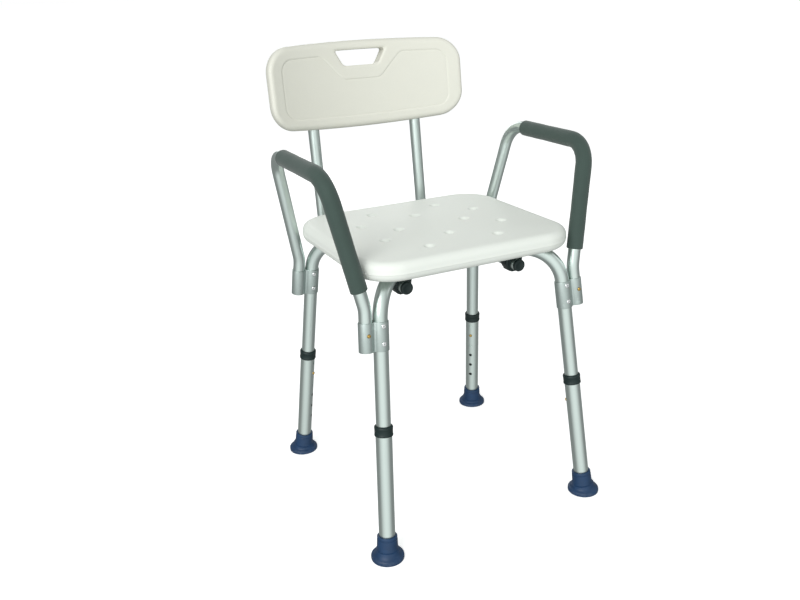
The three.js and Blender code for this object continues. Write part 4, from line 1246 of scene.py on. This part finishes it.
class CHAIR_OT_buttons(bpy.types.Operator):
    """Build the snap buttons of the legs and arms"""

    bl_idname = "chair.buttons"
    bl_label = "Snap buttons"

    def execute(self, context):
        sizes = tubes()
        for name in CORNERS:
            in_leg = along_leg(name, sizes.first_hole - sizes.hole_pitch), leg_inwards(name)
            for limb, seat, inner, surface_at in (
                ("leg", in_leg, sizes.frame, sizes.lower / 2),
                ("arm", arm_button(name), sizes.arm, barrel_radii()[1]),
            ):
                button = self.button(*seat, LEG_UP[name], inner / 2 - sizes.wall, surface_at)
                node = f"{limb}_button_{name}"
                place(f"{limb}_snap_{name}", button, node, "button", node)
        return {"FINISHED"}

    def button(self, centre, facing, up, bore, surface_at):
        """A domed pin, and the V spring behind it as a bent strip of even thickness.

        The spring's far leg leaves the pin room to be pressed in.
        """
        reach = bore - 0.0012
        far = reach - 0.0044
        tip, pin = surface_at + 0.002, 0.003
        half_thick, half_wide = 0.0005, 0.0025
        dome = turned("dome", [
            [0, reach - 0.0006], [pin, reach - 0.0006], [pin, tip - 0.0013],
            [0.00285, tip - 0.0008], [0.0024, tip - 0.0004], [0.0016, tip - 0.0001],
            [0, tip],
        ], centre, facing, up)
        line = np.array([
            [reach, -0.005], [reach, 0.005], [0.62 * reach, 0.014], [0.16 * reach, 0.027],
            [0, 0.0298], [-0.16 * far, 0.027], [-0.62 * far, 0.014], [-far, 0.005],
            [-far, -0.005],
        ])
        way = unit(np.gradient(line, axis=0))
        sideways = np.stack([-way[:, 1], way[:, 0]], axis=-1) * half_thick
        half = half_wide * unit(np.cross(facing, up))
        flat = line[:, :1] * facing + line[:, 1:] * up + centre
        depth = sideways[:, :1] * facing + sideways[:, 1:] * up
        strip = np.stack([
            flat + depth + half, flat + depth - half, flat - depth - half,
            flat - depth + half, flat + depth + half,
        ], axis=1)
        return merged("button", [dome, surface("spring", strip)])


# ---- Arms -------------------------------------------------------------------------------
class CHAIR_OT_arms(bpy.types.Operator):
    """Build the arm tubes and their foam grips"""

    bl_idname = "chair.arms"
    bl_label = "Arms"

    def execute(self, context):
        sizes = tubes()
        for side, x in SIDES.items():
            low, top = arm_corners(side)
            names = f"front_{side}", f"rear_{side}"
            feet = [
                arm_axis(name, socket_top(name) - fittings().socket + sizes.arm_inside)
                for name in names
            ]
            corners = [feet[0], low[0], top[0], top[1], low[1], feet[1]]
            bends = [sizes.arm_low_bend, sizes.arm_bend, sizes.arm_bend, sizes.arm_low_bend]
            inside = sizes.arm - 2 * sizes.wall
            path = bent_path(corners, bends)
            blank = tube("arm", path, sizes.arm, inside, sizes.lip, x * X_AXIS)
            holes = merged("holes", [hole(*arm_button(name), sizes.arm) for name in names])
            place(f"bent_arm_{side}", carved(blank, holes), f"arm_{side}", "tube",
                  f"arm_tube_{side}")
            grip = place(f"foam_grip_{side}", self.grip(low, top, x), f"arm_{side}", "foam",
                         f"arm_grip_{side}")
        return {"FINISHED"}

    def grip(self, low, top, x):
        """A foam sleeve along the front post, the bend and the top of the arm.

        Its radius swells and thins by a few tenths of a millimetre along its length, and
        it is pressed into three shallow folds on the inside of the bend.
        """
        sizes, more = tubes(), fittings()
        round_off, fold_pitch, fold_depth = 0.0022, 0.0145, 0.00055
        post = unit(top[0] - low[0])
        forwards = unit(top[0] - top[1])
        turn = math.acos(float(np.clip(-forwards @ unit(low[1] - top[1]), -1, 1)))
        reach = sizes.arm_bend * math.tan(turn / 2)
        start = low[0] + post * more.grip_above
        end = top[1] + forwards * (reach + more.grip_behind)
        path = bent_path([start, top[0], end], [sizes.arm_bend], math.radians(2.5))
        stations, tangents = self.refined(*path)
        run = running(stations)
        bore = sizes.arm / 2 + GAP
        outer = bore + more.grip_wall
        ease = np.clip(np.minimum(run, run[-1] - run) / round_off, 0, 1)
        radius = outer - round_off * (1 - np.sqrt(1 - (1 - ease) ** 2))
        radius = radius + 0.00012 * np.sin(run * 61) + 0.00008 * np.sin(run * 143 + 1)
        skin = rings(stations, tangents, radius, x * X_AXIS, TUBE_SIDES)
        bend = np.abs(np.gradient(tangents, axis=0)).sum(axis=1)
        bend = bend / bend.max()
        hub = unit(np.cross(unit(np.cross(post, -forwards)), tangents))
        spoke = unit(skin - stations[:, None])
        inner_side = np.clip(np.sum(spoke * hub[:, None], axis=-1), 0, 1) ** 3
        folds = 0.5 - 0.5 * np.cos(run * 2 * math.pi / fold_pitch)
        skin -= (fold_depth * bend[:, None] * folds[:, None] * inner_side)[..., None] * spoke
        bores = np.full(len(run), bore)
        lining = rings(stations, tangents, bores, x * X_AXIS, TUBE_SIDES)[::-1]
        return surface("grip", np.concatenate([skin, lining, skin[:1]]))

    def refined(self, stations, tangents):
        """Stations no more than two millimetres apart, with close ones near the two ends
        for the rounding, and unit tangents at each."""
        run = running(stations)
        ends = np.array([0, 0.0001, 0.0004, 0.0009, 0.0015, 0.0022])
        even = np.linspace(0, run[-1], round(run[-1] / 0.0018))
        wanted = np.unique(np.concatenate([ends, run[-1] - ends, even]))
        path = [np.interp(wanted, run, column) for column in stations.T]
        ways = [np.interp(wanted, run, column) for column in tangents.T]
        return np.stack(path, axis=-1), unit(np.stack(ways, axis=-1))


# ---- Back -------------------------------------------------------------------------------
class CHAIR_OT_back_tubes(bpy.types.Operator):
    """Build the two back tubes and their end plugs"""

    bl_idname = "chair.back_tubes"
    bl_label = "Back tubes"

    def execute(self, context):
        sizes, panel = tubes(), context.scene.chair_panel
        upward = back_frame()[2] * (panel.post_depth - panel.height / 2)
        inside = sizes.back - 2 * sizes.wall
        for side, x in SIDES.items():
            front = np.array([
                x * sizes.back_spread / 2, SEAT_LOW[1] + sizes.back_front + GAP, back_height()
            ])
            top = post_point(x, panel_height(panel)) + upward
            path = bent_path([front, post_point(x, back_height()), top], [sizes.back_bend])
            post = tube("post", path, sizes.back, inside, sizes.lip, X_AXIS)
            place(f"back_post_{side}", post, "backrest", "tube", f"back_tube_{side}")
            place(f"end_plug_{side}", self.plug(front, sizes), "backrest", "trim_plastic",
                  f"tube_plug_{side}")
        return {"FINISHED"}

    def plug(self, front, sizes):
        """A flanged plug with a rounded edge and a shallow dished face."""
        radius = sizes.back / 2
        shank = radius - sizes.wall - GAP
        profile = [
            [0, -0.012], [shank - 0.001, -0.012], [shank, -0.011], [shank, -GAP],
            [radius - 0.0002, -GAP], [radius, 0.0], [radius, 0.0042],
            [radius - 0.0003, 0.0050], [radius - 0.0009, 0.0056], [radius - 0.0017, 0.0059],
            [radius - 0.0030, 0.0060], [radius - 0.0040, 0.0056], [radius - 0.0046, 0.0052],
            [0, 0.0051],
        ]
        return turned("plug", profile, front, FORWARDS, X_AXIS, TUBE_SIDES)


class CHAIR_OT_back_panel(bpy.types.Operator):
    """Build the curved back panel with its inset field and handle slot"""

    bl_idname = "chair.back_panel"
    bl_label = "Back panel"

    def execute(self, context):
        sizes = context.scene.chair_panel
        place("curved_back", self.panel(sizes), "backrest", "back_plastic", "back_panel")
        return {"FINISHED"}

    def curve(self, sizes):
        """Radius of the wall seen from above, from its half width and sag."""
        return ((sizes.width / 2) ** 2 + sizes.sag**2) / (2 * sizes.sag)

    def bend(self, sizes, flat):
        """Bends flat points [across, depth, height]: the wall's depth at x becomes
        fall(post) - fall(x) + depth / cos(a), where sin(a) = x / R, and the height grows
        by the bow's share 1 - (x / half width)^2."""
        radius = self.curve(sizes)
        fall = radius - np.sqrt(radius**2 - flat[..., 0] ** 2)
        post = tubes().back_spread / 2
        crown = radius - math.sqrt(radius**2 - post**2)
        slope = np.sqrt(1 - (flat[..., 0] / radius) ** 2)
        middle, rearward, upward = back_frame()
        depth = crown - fall + flat[..., 1] / slope
        share = 1 - (flat[..., 0] / (sizes.width / 2)) ** 2
        height = flat[..., 2] * (1 + sizes.bow / (sizes.height / 2) * share)
        return (
            middle
            + flat[..., :1] * X_AXIS
            + depth[..., None] * rearward
            + height[..., None] * upward
        )

    def slot_distance(self, sizes, x, z):
        """Distance from the slot's edge, positive outside, with softened corners."""
        soft_ends, soft_corners = 0.001, 0.006
        top = sizes.height / 2 - sizes.slot_below
        low = top - sizes.slot_height
        slope = (sizes.slot_top - sizes.slot_bottom) / 2 / sizes.slot_height
        flank = (np.abs(x) - sizes.slot_bottom / 2 - (z - low) * slope) / math.hypot(1, slope)
        ends = smooth_max(z - top, low - z, soft_ends)
        return smooth_max(flank, ends, soft_corners)

    def inset_distance(self, sizes, x, z):
        """Distance from the inset line, negative inside the field that it encloses."""
        corner, soft, slope = 0.022, 0.006, 1.05
        half_x = sizes.width / 2 - sizes.inset_side
        top = sizes.height / 2 - sizes.inset_top
        low = sizes.inset_bottom - sizes.height / 2
        away_x = np.abs(x) - (half_x - corner)
        away_z = np.abs(z - (top + low) / 2) - ((top - low) / 2 - corner)
        outside = np.hypot(np.maximum(away_x, 0), np.maximum(away_z, 0))
        field = outside + np.minimum(np.maximum(away_x, away_z), 0) - corner
        flank = np.abs(x) - sizes.notch_half - (z - sizes.notch_bottom) * slope
        notch = smooth_max(sizes.notch_bottom - z, flank / math.hypot(1, slope), soft)
        return smooth_max(field, -notch, soft)

    def relief(self, sizes, x, z):
        """How far the front face lies behind its plane: the field is set back, a fine line
        runs round it, and the wall rounds off towards the slot."""
        blend, line_depth, line_width = 0.0016, 0.0009, 0.0011
        away = self.inset_distance(sizes, x, z)
        field = sizes.inset_depth * (1 - smoothstep(-blend, blend, away))
        line = line_depth * np.exp(-((away / line_width) ** 2))
        return field + line + self.rim(sizes, x, z)

    def rim(self, sizes, x, z):
        """How far the wall falls away beside the slot, as part of an ellipse."""
        share = np.clip(1 - self.slot_distance(sizes, x, z) / sizes.slot_rim, 0, 1)
        return sizes.slot_rim * 0.7 * (1 - np.sqrt(1 - share**2 * 0.96))

    def ribs(self, sizes, x, z):
        """How far the rear face stands out over the two post sockets: a round rib about
        the post's axis, with a domed top, blended into the flat face over `soft`."""
        wall, dome, soft = 0.0028, 0.008, 0.003
        radius = tubes().back / 2 + GAP + wall
        top = sizes.post_depth - sizes.height / 2 - dome
        away = np.hypot(np.abs(x) - tubes().back_spread / 2, np.maximum(z - top, 0))
        bulge = np.sqrt(np.maximum(radius**2 - away**2, 0)) + sizes.posts
        return smooth_max(bulge - sizes.thickness / 2, np.zeros_like(x), soft) - soft / 4

    def panel(self, sizes):
        """Rings that grow out of a middle line across the front, turn over the edge and
        close on a middle line across the rear, then are bent."""
        half_x, half_z = sizes.width / 2, sizes.height / 2
        inner, normals = quarter_outline(half_x, half_z, sizes.corner, 0.00155)
        edge, half, seam = sizes.edge, sizes.thickness / 2, 0.0003
        flat = inner + (sizes.corner - edge) * normals
        spine = middle_line(flat, half_x - half_z)
        near, far = (turn[1:] for turn in quarter_turn(edge, 8))
        over = np.concatenate([
            np.stack([near, far - half], axis=-1), [[-seam, 0.0]],
            np.stack([far, half - near], axis=-1),
        ])
        side = inner[None] + (sizes.corner - over[:, :1, None]) * normals[None]
        front = spread(spine, flat, np.linspace(0, 1, 56))
        rear = spread(spine, side[-1], np.linspace(1, 0, 36)[1:])
        plan = np.concatenate([front, side, rear])
        x, z = plan[..., 0], plan[..., 1]
        depth = np.concatenate([
            np.full(len(front), -half), over[:, 1], np.full(len(rear), half)
        ])[:, None] + np.zeros_like(x)
        first, last = len(front), len(front) + len(side) - 1
        depth[:first] += self.relief(sizes, x[:first], z[:first])
        depth[last:] += self.ribs(sizes, x[last:], z[last:])
        depth[last:] -= self.rim(sizes, x[last:], z[last:])
        points = self.bend(sizes, np.stack([x, depth, z], axis=-1))
        return carved(surface("panel", points), self.slot(sizes), self.sockets(sizes))

    def slot(self, sizes):
        """The handle slot as a cutter: its outline is where the slot's distance is zero,
        found along rays from the slot's middle by halving."""
        middle = sizes.height / 2 - sizes.slot_below - sizes.slot_height / 2
        angle = np.linspace(0, 2 * math.pi, 181)
        low, high = np.zeros_like(angle), np.full_like(angle, sizes.slot_top)
        for _ in range(40):
            guess = (low + high) / 2
            x, z = guess * np.cos(angle), middle + guess * np.sin(angle)
            inside = self.slot_distance(sizes, x, z) < 0
            low, high = np.where(inside, guess, low), np.where(inside, high, guess)
        faces = [np.stack([x, np.full_like(x, depth), z], axis=-1) for depth in (-0.05, 0.05)]
        return surface("slot", self.bend(sizes, np.stack(faces)))

    def sockets(self, sizes):
        """Cutters for the bores that the posts run up into."""
        centre, rearward, upward = back_frame()
        bores = []
        for x in SIDES.values():
            foot = centre + x * tubes().back_spread / 2 * X_AXIS + sizes.posts * rearward
            low = foot - upward * (sizes.height / 2 + CUT_PAST)
            high = foot + upward * (sizes.post_depth - sizes.height / 2 + GAP)
            bores.append(rod(low, high, tubes().back / 2 + GAP, TUBE_SIDES))
        return merged("bores", bores)


# ---- Saddles ----------------------------------------------------------------------------
class CHAIR_OT_saddles(bpy.types.Operator):
    """Build the saddles that hold the back tubes under the frame, and their screws"""

    bl_idname = "chair.saddles"
    bl_label = "Saddles"

    def execute(self, context):
        for name, (x, y) in CORNERS.items():
            out = leg_top(name) - crossing()
            centre = crossing() + out * (tubes().back_spread / 2 / abs(leg_top(name)[0]))
            below = centre * [1, 1, 0]
            way = np.array([fittings().screw_across, -x * y * fittings().screw_along, 0])
            screws = below - way, below + way
            saddle = self.saddle(centre, out, below, screws)
            place(f"tube_saddle_{name}", saddle, "frame", "trim_plastic", f"saddle_{name}")
            for letter, place_below in zip("ab", screws):
                place(f"pan_screw_{name}_{letter}", self.screw(place_below), "frame", "screw",
                      f"saddle_screw_{name}_{letter}")
        return {"FINISHED"}

    def saddle(self, centre, along, below, screws):
        """A block that tapers towards its ends, less a cradle for the frame tube, a bore
        for the back tube, and the screws' holes through its two ears.

        `below` and `screws` are the middle and the screws' places on the floor.
        """
        more = fittings()
        top = SEAT_LOW[2] - GAP
        low = back_height() - tubes().back / 2 - GAP - 0.0026
        wide, ear = more.saddle_half, top - more.saddle_ear
        outline, normals = rounded([
            [-0.009, low], [0.009, low], [wide - 0.003, back_height()], [wide, ear],
            [wide, top], [-wide, top], [-wide, ear], [0.003 - wide, back_height()],
        ], 0.0014)
        half, front_cut, head_room, shank_room = more.saddle_length / 2, 0.003, 0.0036, 0.0021
        levels = rounded_levels(front_cut - half, half, 0.0012, between=14)
        ends = np.minimum(levels[:, 1] + half - front_cut, half - levels[:, 1])
        narrow = 0.74 + 0.26 * smoothstep(-0.001, 0.007, ends)[:, None, None]
        blank = prism("saddle", outline, normals, levels, below, X_AXIS, Z_AXIS, Y_AXIS, narrow)
        along, back = unit(along) * 0.06, Y_AXIS * 0.03
        axis = below + Z_AXIS * back_height()
        cradle = rod(centre - along, centre + along, tubes().frame / 2 + GAP, TUBE_SIDES)
        run = rod(axis - back, axis + back, tubes().back / 2 + GAP, TUBE_SIDES)
        rooms, shanks = (
            [rod(at + Z_AXIS * start, at + Z_AXIS * end, radius) for at in screws]
            for start, end, radius in (
                (low - CUT_PAST, ear, head_room), (ear - 0.001, top + CUT_PAST, shank_room)
            )
        )
        return carved(blank, cradle, run, merged("rooms", rooms), merged("shanks", shanks))

    def screw(self, below):
        """A pan head with a cross recess, under the saddle's ear, and a pointed shank."""
        head = SEAT_LOW[2] - 2 * GAP - fittings().saddle_ear
        profile = [
            [0, head - 0.0023], [0.0014, head - 0.00225], [0.0024, head - 0.0019],
            [0.0030, head - 0.0012], [0.0032, head - 0.0005], [0.0032, head],
            [0.0018, head], [0.0018, SEAT_LOW[2] + 0.010], [0, SEAT_LOW[2] + 0.0117],
        ]
        long, thin = 0.0019, 0.00035
        outline, normals = rounded(
            [[-long, -thin], [long, -thin], [long, thin], [-long, thin]], 0.0002, 3
        )
        levels = [[0.0001, head - 0.0009], [0, head - 0.004]]
        cross = [
            prism("arm", outline, normals, levels, below, way, across, Z_AXIS)
            for way, across in ((X_AXIS, Y_AXIS), (Y_AXIS, X_AXIS))
        ]
        return carved(turned("screw", profile, below), *cross)


# ---- Stage ------------------------------------------------------------------------------
FAR = 60.0  # half the floor's width, and the end of the camera's view
LIT_MIDDLE = np.array([0.0, 0.0, 0.45])  # where the lights point


class CHAIR_OT_stage(bpy.types.Operator):
    """Set out the floor, the lights and the camera"""

    bl_idname = "chair.stage"
    bl_label = "Stage"

    def execute(self, context):
        sizes = context.scene.chair_stage
        self.floor(context.scene.chair_colours, sizes)
        self.surroundings(sizes)
        self.light("key_light", sizes.key_spot, (1.5, 1.5), sizes.key)
        self.light("fill_light", sizes.fill_spot, (1.0, 1.6), sizes.fill)
        self.light("rear_light", sizes.rear_spot, (1.6, 1.6), sizes.rear)
        self.camera(sizes)
        context.scene.view_settings.view_transform = "Standard"
        return {"FINISHED"}

    def floor(self, colours, sizes):
        """A floor that only the camera sees, so that the room alone lights the chair."""
        mesh = bpy.data.meshes.new("floor")
        corners = [(-1, -1), (1, -1), (1, 1), (-1, 1)]
        mesh.from_pydata([(FAR * x, FAR * y, 0) for x, y in corners], [], [(0, 1, 2, 3)])
        make = Finish("pale_floor")
        mesh.materials.append(make.surface(
            Base_Color=tuple(colours.floor), Roughness=0.9, Specular_IOR_Level=0.1,
            Emission_Color=(1.0, 1.0, 1.0), Emission_Strength=sizes.glow,
        ))
        floor = linked("floor", mesh)
        floor.visible_glossy = False
        floor.visible_diffuse = False

    def surroundings(self, sizes):
        """A room that is brightest on the camera's side, plain white to the camera."""
        world = bpy.data.worlds.new("pale_surroundings")
        bpy.context.scene.world = world
        make = Shading(world)
        azimuth = math.radians(sizes.azimuth)
        way = (math.sin(azimuth), -math.cos(azimuth), 0.0)
        direction = make.node("ShaderNodeTexCoord", output="Generated")
        dot = {"operation": "DOT_PRODUCT"}
        front = make.node("ShaderNodeVectorMath", dot, {0: direction, 1: way}, "Value")
        above = make.node("ShaderNodeVectorMath", dot, {0: direction, 1: (0, 0, 1)}, "Value")
        bright = sizes.front * front.clamped(0.2, 0.95) + sizes.above * above.clamped(0.1, 1)
        lit = make.node(
            "ShaderNodeBackground", {},
            {"Color": (0.97, 1.0, 0.99, 1), "Strength": sizes.room + bright},
        )
        seen = make.node("ShaderNodeBackground", {}, {"Color": (1, 1, 1, 1)})
        camera = make.node("ShaderNodeLightPath", output="Is Camera Ray")
        mix = make.node("ShaderNodeMixShader", {}, {0: camera, 1: lit, 2: seen})
        make.node("ShaderNodeOutputWorld", {}, {"Surface": mix}, None)

    def light(self, name, location, size, power):
        """An area light that faces the chair and that the camera doesn't see."""
        data = bpy.data.lights.new(name, "AREA")
        data.shape = "RECTANGLE"
        data.size, data.size_y = size
        data.energy = power
        lamp = linked(name, data)
        lamp.location = location
        self.turn(lamp, unit(np.array(location) - LIT_MIDDLE), 0)
        lamp.visible_camera = False

    def turn(self, item, back, roll):
        """Turns an object so that its -Z looks along -back, rolled about that line."""
        right = unit(np.cross(-back, Z_AXIS))
        up = np.cross(right, -back)
        right, up = (
            math.cos(roll) * right + math.sin(roll) * up,
            math.cos(roll) * up - math.sin(roll) * right,
        )
        axes = np.array([right, up, back]).T
        item.rotation_mode = "QUATERNION"
        item.rotation_quaternion = Matrix(axes.tolist()).to_quaternion()

    def camera(self, sizes):
        """The camera, turned by its azimuth, elevation and roll."""
        azimuth, elevation = math.radians(sizes.azimuth), math.radians(sizes.elevation)
        back = np.array([
            math.sin(azimuth) * math.cos(elevation),
            -math.cos(azimuth) * math.cos(elevation),
            math.sin(elevation),
        ])
        data = bpy.data.cameras.new("camera")
        data.lens = sizes.lens
        data.sensor_width = 36.0
        data.clip_start, data.clip_end = 0.05, FAR
        camera = linked("camera", data)
        camera.location = sizes.camera
        self.turn(camera, back, math.radians(sizes.roll))
        bpy.context.scene.camera = camera


# ---- Panel and registration -------------------------------------------------------------
PIECES = (
    CHAIR_OT_seat,
    CHAIR_OT_frame_tubes,
    CHAIR_OT_lower_legs,
    CHAIR_OT_sockets,
    CHAIR_OT_buttons,
    CHAIR_OT_arms,
    CHAIR_OT_back_tubes,
    CHAIR_OT_back_panel,
    CHAIR_OT_saddles,
    CHAIR_OT_stage,
)
GROUPS = {
    "chair_tubes": ChairTubes,
    "chair_seat": ChairSeat,
    "chair_panel": ChairPanel,
    "chair_fittings": ChairFittings,
    "chair_colours": ChairColours,
    "chair_stage": ChairStage,
}


class CHAIR_PT_builder(bpy.types.Panel):
    """Sizes, colours and buttons that build the chair"""

    bl_idname = "CHAIR_PT_builder"
    bl_label = "Shower chair"
    bl_space_type = "VIEW_3D"
    bl_region_type = "UI"
    bl_category = "Shower chair"

    def draw(self, context):
        """Lists the operators, then each group of sizes."""
        for operator in PIECES:
            self.layout.operator(operator.bl_idname)
        for attribute, group in GROUPS.items():
            box = self.layout.box()
            box.label(text=attribute.replace("chair_", "").capitalize())
            for name in group.__annotations__:
                box.prop(getattr(context.scene, attribute), name)


def register():
    """Registers the groups of sizes, the operators and the panel."""
    for group in GROUPS.values():
        bpy.utils.register_class(group)
    for attribute, group in GROUPS.items():
        setattr(bpy.types.Scene, attribute, bpy.props.PointerProperty(type=group))
    for item in (*PIECES, CHAIR_PT_builder):
        bpy.utils.register_class(item)


def unregister():
    """Takes away what register made."""
    for item in reversed((*PIECES, CHAIR_PT_builder)):
        bpy.utils.unregister_class(item)
    for attribute, group in GROUPS.items():
        delattr(bpy.types.Scene, attribute)
        bpy.utils.unregister_class(group)


def main():
    """Builds every piece and the stage."""
    register()
    for operator in PIECES:
        family, name = operator.bl_idname.split(".")
        getattr(getattr(bpy.ops, family), name)()


if __name__ == "__main__":
    main()
